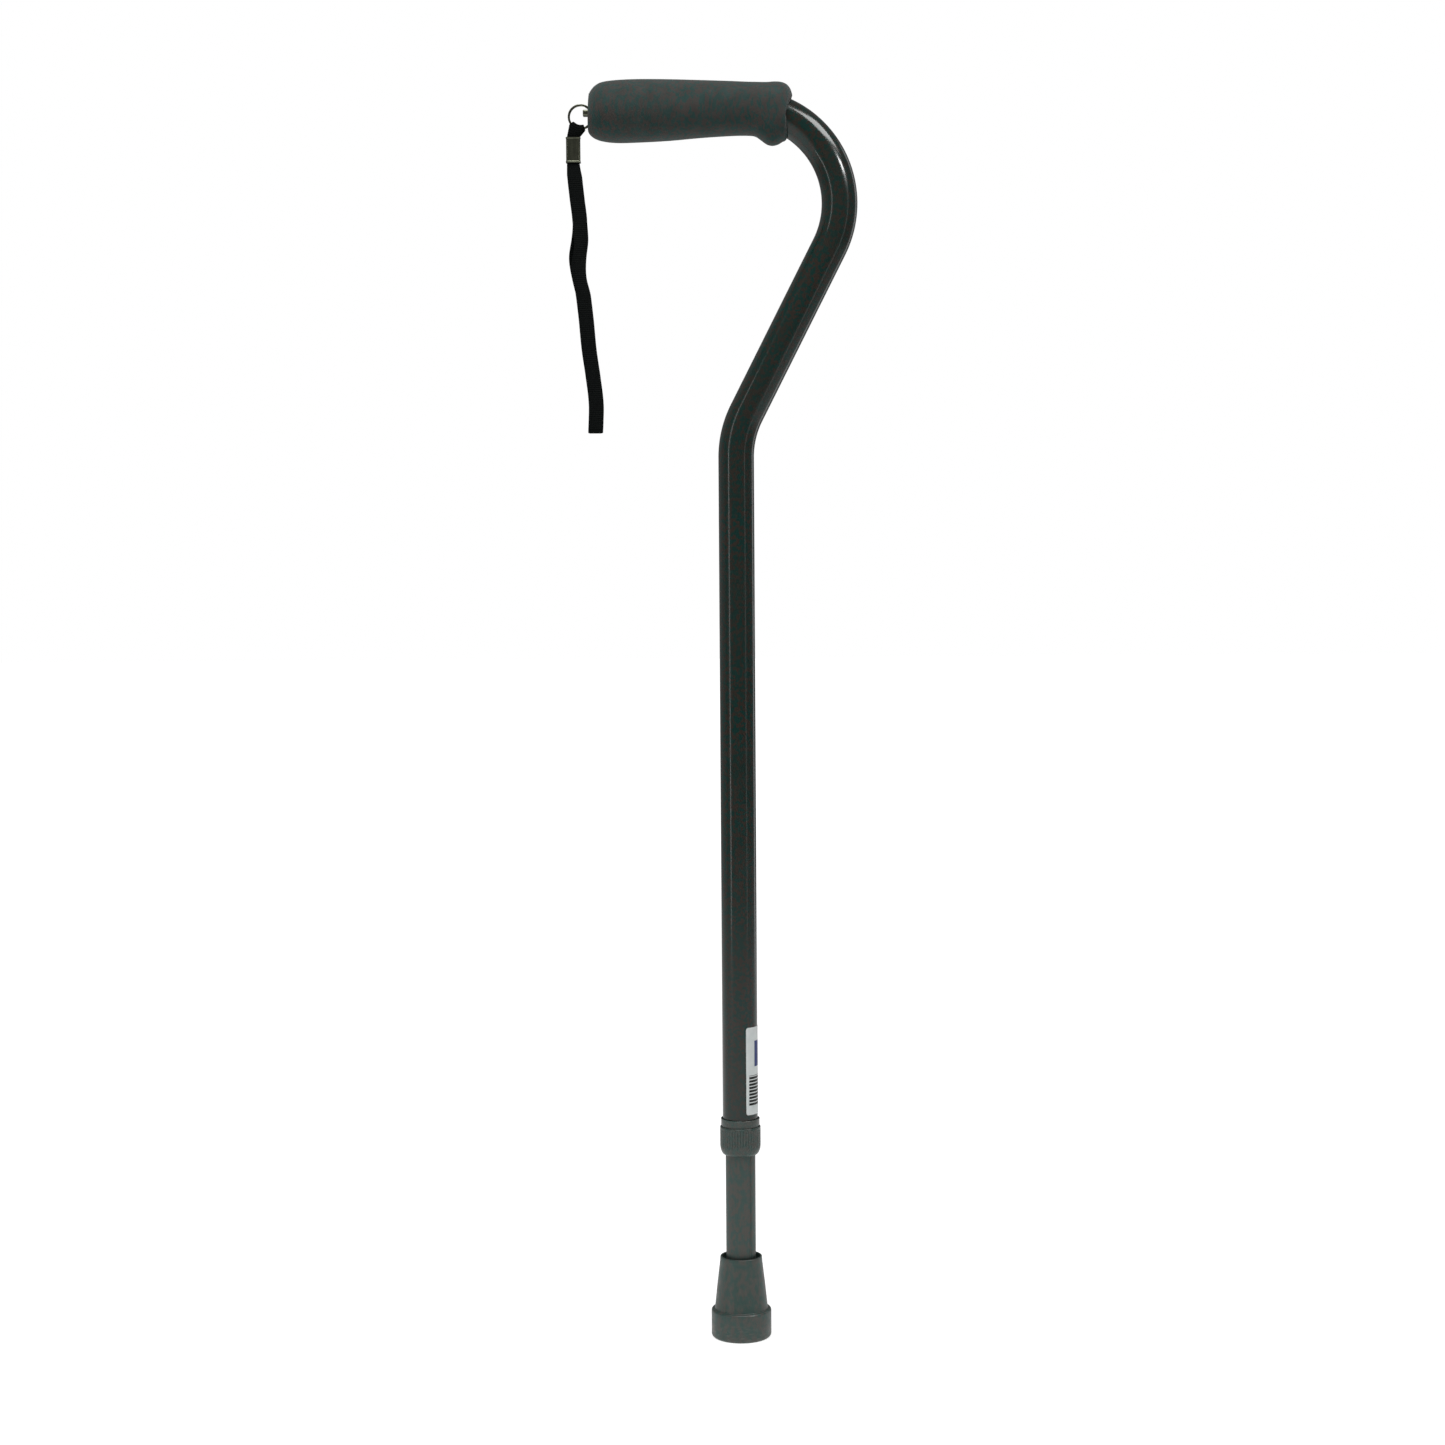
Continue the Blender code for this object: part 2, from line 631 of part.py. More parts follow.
def grip_end_ring(radius):
    """The circle where the foam's end face meets the bend; it leans back at the bottom."""
    centre = upper_bend_centre()
    side = math.acos((GRIP_END_SIDE_X - centre[0]) / UPPER_BEND_RADIUS)
    ring = []
    for i in range(GRIP_SIDES):
        a = math.tau * i / GRIP_SIDES
        height = math.sin(a)
        lean = GRIP_END_LEAN[height > 0.0] * height
        point = bend_station(centre, UPPER_BEND_RADIUS + radius * height, side + lean)[0]
        ring.append(point + Vector((0.0, radius * math.cos(a), 0.0)))
    return ring


def make_foam_grip(finish, parent):
    bore = UPPER_RADIUS + GAP
    rings = []
    for upper, lower, half_width in GRIP_STATIONS:
        x = (upper[0] + lower[0]) / 2.0 * MM
        centre = handle_station(min(x, GRIP_END_SIDE_X))[0]
        rings.append(grip_ring(upper, lower, half_width, centre))
    rings.append(grip_end_ring(bore))
    for x in GRIP_BORE_X:
        rings.append(section(handle_station(x), bore, GRIP_SIDES))
    rings.append(section(handle_station(GRIP_MOUTH_X), bore + GRIP_MOUTH_FLARE, GRIP_SIDES))
    add_piece("foam_grip", hollow_of_rings(rings), finish, parent)


def handle_direction():
    """Unit vector along the handle towards its free end."""
    return Vector((-math.cos(HANDLE_DROOP), 0.0, -math.sin(HANDLE_DROOP)))


def make_end_plug(finish, parent):
    """Plastic plug in the free end of the tube, with a through hole for the stud."""
    insert = UPPER_BORE - GAP
    hole = SHANK_RADIUS + GAP
    flange = UPPER_RADIUS - 0.2 * MM
    profile = [
        (flange - 0.5 * MM, PLUG_FLANGE + GAP),
        (flange, PLUG_FLANGE + GAP - 0.5 * MM),
        (flange, GAP),
        (insert, GAP),
        (insert, 1.0 * MM - PLUG_LENGTH),
        (insert - 0.8 * MM, -PLUG_LENGTH),
        (hole, -PLUG_LENGTH),
        (hole, PLUG_FLANGE + GAP),
    ]
    tube_end = handle_station(HANDLE_END_X)[0]
    add_piece("end_plug", aim(turned(profile, 32), tube_end, handle_direction()), finish, parent)


def rounded_box(half_sizes, centre, radius, segments=3):
    """A box whose edges along X are rounded."""
    outline = []
    hy = half_sizes[1] - radius
    hz = half_sizes[2] - radius
    for quarter, (sy, sz) in enumerate(((1, 1), (-1, 1), (-1, -1), (1, -1))):
        for i in range(segments + 1):
            a = math.radians(90.0 * quarter + 90.0 * i / segments)
            outline.append((sy * hy + radius * math.cos(a), sz * hz + radius * math.sin(a)))
    rings = []
    for x in (-half_sizes[0], half_sizes[0]):
        rings.append([Vector(centre) + Vector((x, y, z)) for y, z in outline])
    return solid_of_rings(rings)


def make_strap_stud(finish, parent):
    """Flat metal eye with a vertical hole for the ring, on a round shank through the plug."""
    base_x = HANDLE_END_X - PLUG_FLANGE - STUD_WASHER - 3.0 * GAP
    half_length = (base_x - STUD_TIP_X) / 2.0
    centre = Vector((base_x - half_length, 0.0, STUD_Z))
    eye = rounded_box((half_length, STUD_WIDTH / 2.0, STUD_HEIGHT / 2.0), centre, 1.2 * MM)
    stud = add_piece("strap_stud", eye, finish, parent)
    inner_end_x = HANDLE_END_X + PLUG_LENGTH + 3.0 * MM
    length = inner_end_x - base_x + 1.0 * MM
    shank = cylinder(SHANK_RADIUS, length, 20, handle_station(inner_end_x)[0], handle_direction())
    add_boolean(stud, shank, "stud_shank", "UNION")
    hole = cylinder(STUD_HOLE_RADIUS, 8.0 * MM, 28, (STUD_HOLE_X, 0.0, STUD_Z - 4.0 * MM), (0.0, 0.0, 1.0))
    add_boolean(stud, hole, "stud_hole_cutter", "DIFFERENCE")


def make_stud_hardware(finish, parent):
    """The washer outside the plug and the push-on nut inside it; both sit on the stud's shank."""
    tube_end = handle_station(HANDLE_END_X)[0]
    axis = handle_direction()
    bore = SHANK_RADIUS + 0.25 * MM
    washer = [(5.2 * MM, STUD_WASHER), (5.2 * MM, 0.0), (bore, 0.0), (bore, STUD_WASHER)]
    outer_face = tube_end + axis * (PLUG_FLANGE + 2.0 * GAP)
    add_piece("stud_washer", aim(turned(washer, 24), outer_face, axis), finish, parent)
    nut = [(5.0 * MM, 0.6 * MM), (5.0 * MM, 0.0), (2.6 * MM, -0.9 * MM), (bore, -0.9 * MM)]
    nut += [(bore, -0.3 * MM), (2.6 * MM, 0.2 * MM), (3.4 * MM, 0.6 * MM)]
    inner_face = tube_end - axis * (PLUG_LENGTH + GAP + 0.6 * MM)
    add_piece("stud_push_nut", aim(turned(nut, 20), inner_face, axis), finish, parent)


def make_split_ring(finish, parent, origin):
    """Two turns of flat wire: it steps across from the first turn to the second just before it meets itself."""
    step = RING_STEP_ANGLE
    total = 2.0 * math.tau - step - RING_END_GAP
    count = 72
    half_radial = RING_WIRE_RADIAL / 2.0
    half_axial = RING_WIRE_AXIAL / 2.0
    rings = []
    for i in range(count + 1):
        travelled = total * i / count
        crossing = min(1.0, max(0.0, (travelled - math.tau + step) / step))
        y = RING_COIL_PITCH * (crossing - 0.5)
        angle = RING_START_ANGLE + travelled
        outward = Vector((math.cos(angle), 0.0, math.sin(angle)))
        middle = RING_CENTRE + outward * RING_RADIUS
        corners = ((-half_radial, -half_axial), (half_radial, -half_axial))
        corners += ((half_radial, half_axial), (-half_radial, half_axial))
        rings.append([middle + outward * across + Vector((0.0, y + deep, 0.0)) for across, deep in corners])
    add_piece("split_ring", solid_of_rings(rings), finish, parent, origin)


def route_x(z):
    """The hanging strap's x at a height, on a smooth curve through the route's points."""
    heights = [point[1] * MM for point in STRAP_ROUTE]
    last = len(heights) - 1
    i = 0
    while i < last - 1 and z < heights[i + 1]:
        i += 1
    x0, x1, x2, x3 = (STRAP_ROUTE[min(max(k, 0), last)][0] * MM for k in (i - 1, i, i + 1, i + 2))
    t = (z - heights[i]) / (heights[i + 1] - heights[i])
    bend = (2.0 * x0 - 5.0 * x1 + 4.0 * x2 - x3) * t * t + (3.0 * x1 - x0 - 3.0 * x2 + x3) * t * t * t
    return 0.5 * (2.0 * x1 + (x2 - x0) * t + bend)


def hanging_row(z, offset, sides=(-1.0, 0.0, 1.0)):
    """Points across the webbing at a height below the crimp; offset is its distance behind the loop's middle."""
    lean = (z - STRAP_TWIST_Z) / STRAP_TWIST_REACH
    twist = STRAP_TWIST * math.exp(-lean * lean)
    half = strap_half_width(z)
    row = []
    for side in sides:
        x = side * half * math.cos(twist) - offset * math.sin(twist)
        y = side * half * math.sin(twist) + offset * math.cos(twist)
        row.append(Vector((route_x(z) + x, y, z)))
    return row


def strap_half_width(z):
    """The crimp squeezes the webbing a little narrower."""
    squeezed = (CRIMP_WIDTH - 2.0 * CRIMP_WALL - 2.0 * GAP) / 2.0
    blend = min(1.0, max(0.0, (CRIMP_BOTTOM_Z - z) / (8.0 * MM)))
    return squeezed + (STRAP_WIDTH / 2.0 - squeezed) * blend


def layer_offset(z):
    """Half the space between the loop's two layers at a height."""
    length = CRIMP_BOTTOM_Z - STRAP_BOTTOM_Z
    down = min(1.0, max(0.0, (CRIMP_BOTTOM_Z - z) / length))
    opening = min(1.0, down * length / (12.0 * MM))
    opening = opening * opening * (3.0 - 2.0 * opening)
    bulge = LOOP_BULGE * math.sin(math.pi * down)
    return LAYER_OFFSET + (LOOP_OFFSET - LAYER_OFFSET + bulge) * opening


def fold_row(radial, y, sides=(-1.0, 0.0, 1.0)):
    """Points across the webbing where it wraps the ring, at a distance from the ring's centre."""
    row = []
    for side in sides:
        a = STRAP_FOLD_ANGLE + STRAP_FOLD_SPREAD * side
        row.append(RING_CENTRE + Vector((radial * math.sin(a), y, -radial * math.cos(a))))
    return row


def mixed_row(first, second, share):
    return [a.lerp(b, share) for a, b in zip(first, second)]


def strap_rows():
    """Rows across the webbing along its whole length, from the front layer in the crimp, over the ring, down the
    back layer, round the bottom of the loop and up the front layer into the crimp again."""
    joint_z = STRAP_JOINT_Z
    top = CRIMP_TOP_Z
    side_y = FOLD_SIDE_Y
    rows = [hanging_row(joint_z, -LAYER_OFFSET), hanging_row(top, -LAYER_OFFSET)]
    outer = RING_RADIUS + FOLD_START
    rows.append(mixed_row(rows[-1], fold_row(outer, -side_y), 0.5))
    for i in range(9):
        a = math.pi * i / 8.0
        wrap = RING_RADIUS - FOLD_RISE * math.sin(a)
        rows.append(fold_row(wrap, -side_y * math.cos(a)))
    rows.insert(3, fold_row(outer, -side_y))
    rows.append(fold_row(outer, side_y))
    crimp_top_back = hanging_row(top, LAYER_OFFSET)
    rows.append(mixed_row(rows[-1], crimp_top_back, 0.5))
    rows += [crimp_top_back, hanging_row(joint_z, LAYER_OFFSET), hanging_row(CRIMP_BOTTOM_Z, LAYER_OFFSET)]
    turn_z = STRAP_BOTTOM_Z + STRAP_THICKNESS / 2.0 + LOOP_OFFSET
    count = 27
    heights = [CRIMP_BOTTOM_Z + (turn_z - CRIMP_BOTTOM_Z) * i / count for i in range(1, count + 1)]
    rows += [hanging_row(z, layer_offset(z)) for z in heights]
    for i in range(1, 6):
        a = math.pi * i / 6.0
        rows.append(hanging_row(turn_z - LOOP_OFFSET * math.sin(a), LOOP_OFFSET * math.cos(a)))
    rows += [hanging_row(z, -layer_offset(z)) for z in reversed(heights)]
    rows += [hanging_row(CRIMP_BOTTOM_Z, -LAYER_OFFSET), hanging_row(joint_z - STRAP_JOINT_GAP, -LAYER_OFFSET)]
    return rows


def webbing(rows, thickness):
    """A closed band of even thickness about rows of points across its middle surface."""
    rings = []
    last = len(rows) - 1
    for i, row in enumerate(rows):
        ahead = rows[min(i + 1, last)]
        behind = rows[max(i - 1, 0)]
        across = row[-1] - row[0]
        fronts = []
        backs = []
        for j, point in enumerate(row):
            normal = (ahead[j] - behind[j]).cross(across).normalized() * (thickness / 2.0)
            fronts.append(point + normal)
            backs.append(point - normal)
        rings.append(fronts + backs[::-1])
    return solid_of_rings(rings)


def make_wrist_strap(finish, parent, origin):
    add_piece("wrist_strap", webbing(strap_rows(), STRAP_THICKNESS), finish, parent, origin)


def make_strap_crimp(finish, parent, origin):
    """Metal sleeve with rounded edges, pressed round both layers of webbing."""
    half_height = (CRIMP_TOP_Z - CRIMP_BOTTOM_Z) / 2.0
    middle = (CRIMP_TOP_Z + CRIMP_BOTTOM_Z) / 2.0

    def outline(inset, z, radius):
        points = []
        hx = CRIMP_WIDTH / 2.0 - inset - radius
        hy = CRIMP_DEPTH / 2.0 - inset - radius
        for quarter, (sx, sy) in enumerate(((1, 1), (-1, 1), (-1, -1), (1, -1))):
            for i in range(5):
                a = math.radians(90.0 * quarter + 22.5 * i)
                x = CRIMP_X + sx * hx + radius * math.cos(a)
                points.append(Vector((x, sy * hy + radius * math.sin(a), z)))
        return points

    corner = 1.4 * MM
    rings = [
        outline(0.0, middle + half_height, corner),
        outline(0.0, middle - half_height, corner),
        outline(CRIMP_WALL, middle - half_height, corner - CRIMP_WALL),
        outline(CRIMP_WALL, middle + half_height, corner - CRIMP_WALL),
    ]
    add_piece("strap_crimp", hollow_of_rings(rings), finish, parent, origin)


def make_shaft_label(finish, parent):
    """A thin sticker with rounded corners, bent round the tube."""
    inner = UPPER_RADIUS + 0.1 * MM
    outer = inner + 0.15 * MM
    low, high = LABEL_Z
    first, last = LABEL_ANGLES
    steps = 24
    rings = []
    for i in range(steps + 1):
        angle = first + (last - first) * i / steps
        edge = min(angle - first, last - angle) * inner
        drop = 0.0
        if edge < LABEL_CORNER:
            drop = LABEL_CORNER - math.sqrt(max(0.0, LABEL_CORNER**2 - (LABEL_CORNER - edge) ** 2))
        corners = ((inner, low + drop), (outer, low + drop), (outer, high - drop), (inner, high - drop))
        rings.append([Vector((r * math.cos(angle), r * math.sin(angle), z)) for r, z in corners])
    add_piece("shaft_label", solid_of_rings(rings), finish, parent)


def finishes():
    return {
        "gloss_black": material("gloss_black", (0.016, 0.019, 0.018), 0.18),
        "satin_grey": material("satin_grey", (0.065, 0.075, 0.072), 0.42, 0.5),
        "foam": material("foam", (0.035, 0.042, 0.040), 0.95),
        "rubber": material("rubber", (0.055, 0.064, 0.060), 0.8),
        "collar_plastic": material("collar_plastic", (0.055, 0.062, 0.058), 0.5),
        "inner_plastic": material("inner_plastic", (0.02, 0.02, 0.02), 0.5),
        "nickel": material("nickel", (0.62, 0.60, 0.57), 0.2, 1.0),
        "steel": material("steel", (0.55, 0.55, 0.54), 0.35, 1.0),
        "webbing": material("webbing", (0.006, 0.007, 0.007), 0.85),
        "label": material("label", (0.75, 0.77, 0.76), 0.45),
    }


def build():
    clear_scene()
    finish = finishes()
    lower_shaft = add_empty("lower_shaft_frame", (0.0, 0.0, 0.0))
    make_lower_tube(finish["satin_grey"], lower_shaft)
    make_glide_cap(finish["inner_plastic"], lower_shaft)
    make_ferrule(finish["rubber"], lower_shaft)
    make_ferrule_washer(finish["steel"], lower_shaft)
    make_button_spring(finish["steel"], lower_shaft)
    make_snap_button(finish["steel"], lower_shaft, (0.0, 0.0, BUTTON_Z))

    upper_shaft = add_empty("height_slide", (0.0, 0.0, UPPER_END_Z), lower_shaft)
    make_upper_tube(finish["gloss_black"], upper_shaft)
    make_foam_grip(finish["foam"], upper_shaft)
    make_end_plug(finish["inner_plastic"], upper_shaft)
    make_strap_stud(finish["nickel"], upper_shaft)
    make_stud_hardware(finish["steel"], upper_shaft)
    make_collar_sleeve(finish["collar_plastic"], upper_shaft)
    make_shaft_label(finish["label"], upper_shaft)

    nut_axis = (0.0, 0.0, (NUT_TOP_Z + COLLAR_Z) / 2.0)
    make_collet(finish["inner_plastic"], upper_shaft, nut_axis)
    make_lock_nut(finish["collar_plastic"], upper_shaft, nut_axis)

    ring_axis = (STUD_HOLE_X, 0.0, STUD_Z)
    ring_swivel = add_empty("ring_swivel", ring_axis, upper_shaft)
    make_split_ring(finish["nickel"], ring_swivel, ring_axis)
    strap_swivel = add_empty("strap_swivel", RING_CENTRE, ring_swivel)
    make_wrist_strap(finish["webbing"], strap_swivel, RING_CENTRE)
    make_strap_crimp(finish["nickel"], strap_swivel, RING_CENTRE)


build()
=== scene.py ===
"""Finished look of an offset walking cane: finer pieces, procedural materials, camera and studio light."""

from math import acos, cos, exp, pi, radians, sin, sqrt, tan, tau

import bmesh
import bpy
from mathutils import Matrix, Vector


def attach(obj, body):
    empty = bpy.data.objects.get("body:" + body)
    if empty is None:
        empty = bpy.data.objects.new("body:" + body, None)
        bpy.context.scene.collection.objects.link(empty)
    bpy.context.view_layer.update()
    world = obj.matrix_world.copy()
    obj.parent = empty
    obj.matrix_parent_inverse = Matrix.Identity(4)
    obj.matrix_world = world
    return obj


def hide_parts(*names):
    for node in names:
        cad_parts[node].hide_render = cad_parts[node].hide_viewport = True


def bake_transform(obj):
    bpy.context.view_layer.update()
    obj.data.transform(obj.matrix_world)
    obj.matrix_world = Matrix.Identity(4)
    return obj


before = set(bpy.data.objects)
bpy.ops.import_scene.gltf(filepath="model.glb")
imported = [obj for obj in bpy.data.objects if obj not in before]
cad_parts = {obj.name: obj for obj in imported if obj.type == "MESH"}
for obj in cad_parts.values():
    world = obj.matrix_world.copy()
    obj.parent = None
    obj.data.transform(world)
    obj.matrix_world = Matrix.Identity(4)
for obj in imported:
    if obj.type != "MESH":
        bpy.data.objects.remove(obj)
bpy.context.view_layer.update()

MM = 0.001

# Shaft: the lower bend's vertex is where its two straight sides would meet
UPPER_RADIUS = 11.2 * MM
UPPER_BORE = 9.95 * MM
UPPER_END_Z = 131.2 * MM
LOWER_RADIUS = 9.5 * MM
LOWER_BORE = 8.3 * MM
LOWER_BOTTOM_Z = 12.1 * MM
LOWER_TOP_Z = 403.0 * MM
LOWER_BEND_VERTEX_Z = 576.3 * MM
LOWER_BEND_RADIUS = 61.0 * MM
LOWER_BEND_STEPS = 12
SLANT = radians(27.0)
UPPER_BEND_RADIUS = 59.6 * MM
UPPER_BEND_STEPS = 48
HANDLE_TOP_Z = 779.0 * MM
HANDLE_DROOP = radians(1.7)
HANDLE_END_X = -81.3 * MM
TUBE_SIDES = 96

# The groove along the lower tube is one corner of its outline, pressed in
GROOVE_CORNER = 83
GROOVE_DEPTH = 0.45 * MM

# Row of height holes and the button
HOLE_PITCH = 25.4 * MM
HOLES_ABOVE_BUTTON = 1
HOLES_BELOW_BUTTON = 8
HOLE_RADIUS = 3.4 * MM
HOLE_SIDES = 40
BUTTON_Z = 368.0 * MM
BUTTON_RADIUS = 3.1 * MM
BUTTON_TIP_Y = 14.0 * MM
BUTTON_DOME = 1.6 * MM
FLANGE_RADIUS = 4.4 * MM
FLANGE_BACK_Y = 5.6 * MM
FLANGE_FRONT_Y = 6.6 * MM

# Leaf spring: its legs as (y, z) in mm with z from the button's axis, and the centre of its bow as (y, z)
SPRING_WIDTH = 8.0 * MM
SPRING_THICKNESS = 0.5 * MM
SPRING_FRONT_LEG = ((5.05, 8.0), (5.05, -7.0), (4.25, -12.0))
SPRING_BACK_LEG = ((-6.3, -12.0), (-6.3, 4.0))
SPRING_BOW = (-3.2 * MM, 328.0 * MM)
SPRING_BOW_RADIUS = 2.6 * MM

# Locking collar: profiles as (radius, height above the nut's underside) in mm
COLLAR_Z = 118.3 * MM
SLEEVE_RIM_CENTRE = (11.95, 22.9)
SLEEVE_RIM_ROUNDING = 0.5 * MM
SLEEVE_SHOULDER = ((12.3, 22.5), (12.3, 19.3), (12.15, 18.9), (11.9, 18.9), (11.9, 13.8), (11.6, 13.3))
SLEEVE_THREADS = 4
THREAD_TOP = 12.2 * MM
THREAD_PITCH = 2.5 * MM
THREAD_TOOTH = ((11.6, 0.5), (12.1, 0.2), (12.1, -0.2), (11.6, -0.5))
SLEEVE_FOOT = ((11.6, 3.1), (11.3, 2.8), (11.0, 2.8), (10.0, 8.6), (10.0, 12.6), (11.5, 12.6))
SLEEVE_MOUTH = ((11.5, 22.4), (11.8, 23.2), (11.9, 23.4))
NUT_BAND = ((12.23, 18.3), (12.45, 18.26), (12.67, 18.14), (12.85, 17.94), (12.93, 17.7), (12.95, 16.7))
NUT_RIBBED = ((12.95, 16.4), (12.95, 8.2))
NUT_RADIUS = 12.95 * MM
NUT_END_INSET = 2.9 * MM
NUT_END_HEIGHT = 6.8 * MM
NUT_UNDERSIDE_RADIUS = 10.2 * MM
NUT_BORE = ((9.9, 0.0), (9.9, 0.9), (11.6, 1.1), (12.1, 3.8))
NUT_HOLLOW = ((12.5, 4.4), (12.5, 13.6), (12.2, 14.0), (12.2, 18.3))
NUT_RIBS = 44
NUT_GROOVE = 0.45 * MM
RIB_SHAPE = (1.0, 0.45, 0.0, 0.0, 0.0, 0.45)  # share of the groove's depth at each corner of one rib

# Rubber tip: profiles as (radius, height above the floor) in mm, tread grooves as inner and outer radius
TIP_TOP_Z = 52.4 * MM
TIP_BASE_RADIUS = 19.2 * MM
TIP_BASE_ROUNDING = 2.4 * MM
TIP_LEDGE_Z = 18.5 * MM
TIP_LEDGE_ROUNDING = 1.5 * MM
TIP_CONE_FOOT_RADIUS = 17.45 * MM
TIP_CONE_FOOT_ROUNDING = 0.5 * MM
TIP_CONE = ((15.25, 35.0), (13.55, 49.0))
TIP_RIM_RADIUS = 12.75 * MM
TIP_RIM_ROUNDING = 0.6 * MM
TIP_MOUTH = ((12.15, 51.0), (11.8, 49.2), (10.9, 47.6), (9.8, 46.6), (9.8, 10.0))
TIP_CENTRE_RADIUS = 1.0 * MM
TREAD_GROOVES = ((6.0 * MM, 7.4 * MM), (10.4 * MM, 11.8 * MM))
TREAD_DEPTH = 1.0 * MM
TREAD_ROUNDING = 0.2 * MM

# Split ring
RING_CENTRE = Vector((-95.8, 0.0, 773.6)) * MM
RING_RADIUS = 7.26 * MM
RING_WIRE_RADIAL = 1.35 * MM
RING_WIRE_AXIAL = 0.8 * MM
RING_WIRE_ROUNDING = 0.3 * MM
RING_COIL_PITCH = 1.1 * MM
RING_START_ANGLE = radians(100.0)
RING_STEP_ANGLE = radians(34.0)
RING_END_GAP = radians(3.0)
RING_STEPS = 240

# Stud: an eye and a shank
STUD_Z = 775.8 * MM
STUD_TIP_X = -94.2 * MM
STUD_BASE_X = -84.7 * MM
STUD_HEIGHT = 3.75 * MM
STUD_WIDTH = 6.4 * MM
STUD_CORNER = 1.2 * MM
STUD_HOLE_X = -89.1 * MM
STUD_HOLE_RADIUS = 1.9 * MM
STUD_ROUNDING = 0.35 * MM
SHANK_RADIUS = 1.7 * MM
SHANK_LENGTH = 18.0 * MM
SHANK_OVERLAP = 0.5 * MM

# Crimp: its rolled rims are (inset, height from the crimp's end) in mm
CRIMP_X = -100.5 * MM
CRIMP_TOP_Z = 761.0 * MM
CRIMP_BOTTOM_Z = 745.2 * MM
CRIMP_WIDTH = 9.3 * MM
CRIMP_DEPTH = 5.6 * MM
CRIMP_CORNER = 1.4 * MM
CRIMP_WALL = 0.5 * MM
CRIMP_PLAY = 0.3 * MM
CRIMP_TOP_RIM = ((0.14, 0.0), (0.02, -0.12), (0.0, -0.5), (0.1, -0.75), (0.24, -0.9))
CRIMP_BOTTOM_RIM = ((0.24, 1.15), (0.12, 1.0), (0.03, 0.75), (0.0, 0.5), (0.02, 0.15), (0.14, 0.0))

# Wrist strap
STRAP_WIDTH = 9.2 * MM
STRAP_THICKNESS = 1.4 * MM
STRAP_EDGE = 0.55  # thickness of the webbing's two edges, as a share of its own
STRAP_SIDES = [-1.0 + i / 4.0 for i in range(9)]  # places across the webbing
STRAP_BOTTOM_Z = 577.1 * MM
STRAP_WIDENING = 8.0 * MM
STRAP_JOINT_Z = 753.0 * MM
STRAP_JOINT_GAP = 0.7 * MM
STRAP_STEPS = 110

# Fold of the strap round the split ring
FOLD_ANGLE = radians(-17.0)
FOLD_SPREAD = radians(37.0)
FOLD_SIDE_Y = 2.15 * MM
FOLD_START = 1.2 * MM
FOLD_RISE = 1.75 * MM
FOLD_STEPS = 16

# Hanging loop: half the space between its layers, the length over which they part, and its one twist
LAYER_OFFSET = 1.05 * MM
LOOP_OFFSET = 2.0 * MM
LOOP_BULGE = 1.0 * MM
LOOP_PARTING = 12.0 * MM
LOOP_TURN_STEPS = 12
STRAP_TWIST = radians(30.0)
STRAP_TWIST_Z = 691.0 * MM
STRAP_TWIST_REACH = 11.0 * MM

# The loop's route from the crimp down, as (x, z) in mm
STRAP_ROUTE = (
    (-100.5, 762.0), (-100.5, 753.0), (-100.5, 744.5), (-99.6, 735.0),
    (-98.3, 722.5), (-96.9, 710.0), (-96.9, 698.5), (-98.4, 686.0),
    (-97.7, 675.0), (-95.2, 664.0), (-93.4, 648.0), (-91.8, 629.5),
    (-89.3, 611.0), (-87.7, 596.0), (-87.9, 584.0), (-88.3, 575.5),
)

# Foam grip in mm, from the free end to the bend: x and z of the upper and of the lower edge, half width
GRIP_STATIONS = (
    (-90.3, 787.5, -91.1, 764.6, 11.8),
    (-89.9, 788.4, -90.8, 763.9, 12.4),
    (-88.7, 790.3, -89.6, 762.2, 14.1),
    (-86.2, 792.8, -86.8, 760.2, 16.4),
    (-82.0, 794.8, -82.0, 758.6, 18.3),
    (-73.4, 795.9, -73.4, 757.6, 19.3),
    (-60.0, 796.4, -60.0, 757.8, 19.5),
    (-40.7, 796.2, -40.7, 758.7, 18.9),
    (-21.4, 795.6, -21.4, 760.3, 18.0),
    (-2.2, 794.9, -2.2, 761.4, 17.1),
    (8.4, 794.4, 8.4, 761.5, 16.8),
    (13.2, 794.3, 13.2, 760.9, 16.7),
    (17.0, 794.2, 16.7, 758.6, 16.6),
    (20.9, 794.2, 20.3, 756.0, 16.6),
    (25.2, 794.5, 23.8, 755.1, 16.5),
    (29.5, 794.2, 27.4, 755.9, 16.2),
    (33.0, 792.7, 30.1, 757.5, 15.4),
    (35.3, 789.8, 31.7, 758.1, 13.8),
    (36.4, 786.2, 32.5, 758.9, 11.9),
)
GRIP_SIDES = 72
GRIP_END_SIDE_X = 31.8 * MM
GRIP_LEAN_ABOVE = radians(1.8)
GRIP_LEAN_BELOW = radians(8.2)
GRIP_BORE = UPPER_RADIUS + 0.3 * MM
# x of the stations along the foam's bore, in mm
GRIP_BORE_STATIONS = (28.0, 26.0, 23.0, 20.0, 17.0, 14.0, 11.0, 9.0, 6.0, 4.0, -83.0, -88.5)
GRIP_MOUTH = GRIP_BORE + 0.3 * MM
GRIP_MOUTH_X = -90.0 * MM

# Sticker, and its print measured from its lower left corner
LABEL_Z = (145.2 * MM, 201.2 * MM)
LABEL_ANGLES = (radians(-70.0), radians(56.0))
LABEL_RADII = (UPPER_RADIUS + 0.05 * MM, UPPER_RADIUS + 0.2 * MM)
LABEL_CORNER = 1.5 * MM
LABEL_STEPS = 72
BARS_ACROSS = (2.0 * MM, 13.5 * MM)
BARS_UP = (5.5 * MM, 25.3 * MM)
BARS_PITCH = 2.1 * MM
BARS_LEVEL = -0.6  # a bar is dark where the wave that draws it is above this
BLUE_ACROSS = (6.6 * MM, 13.7 * MM)
BLUE_UP = (30.7 * MM, 47.2 * MM)

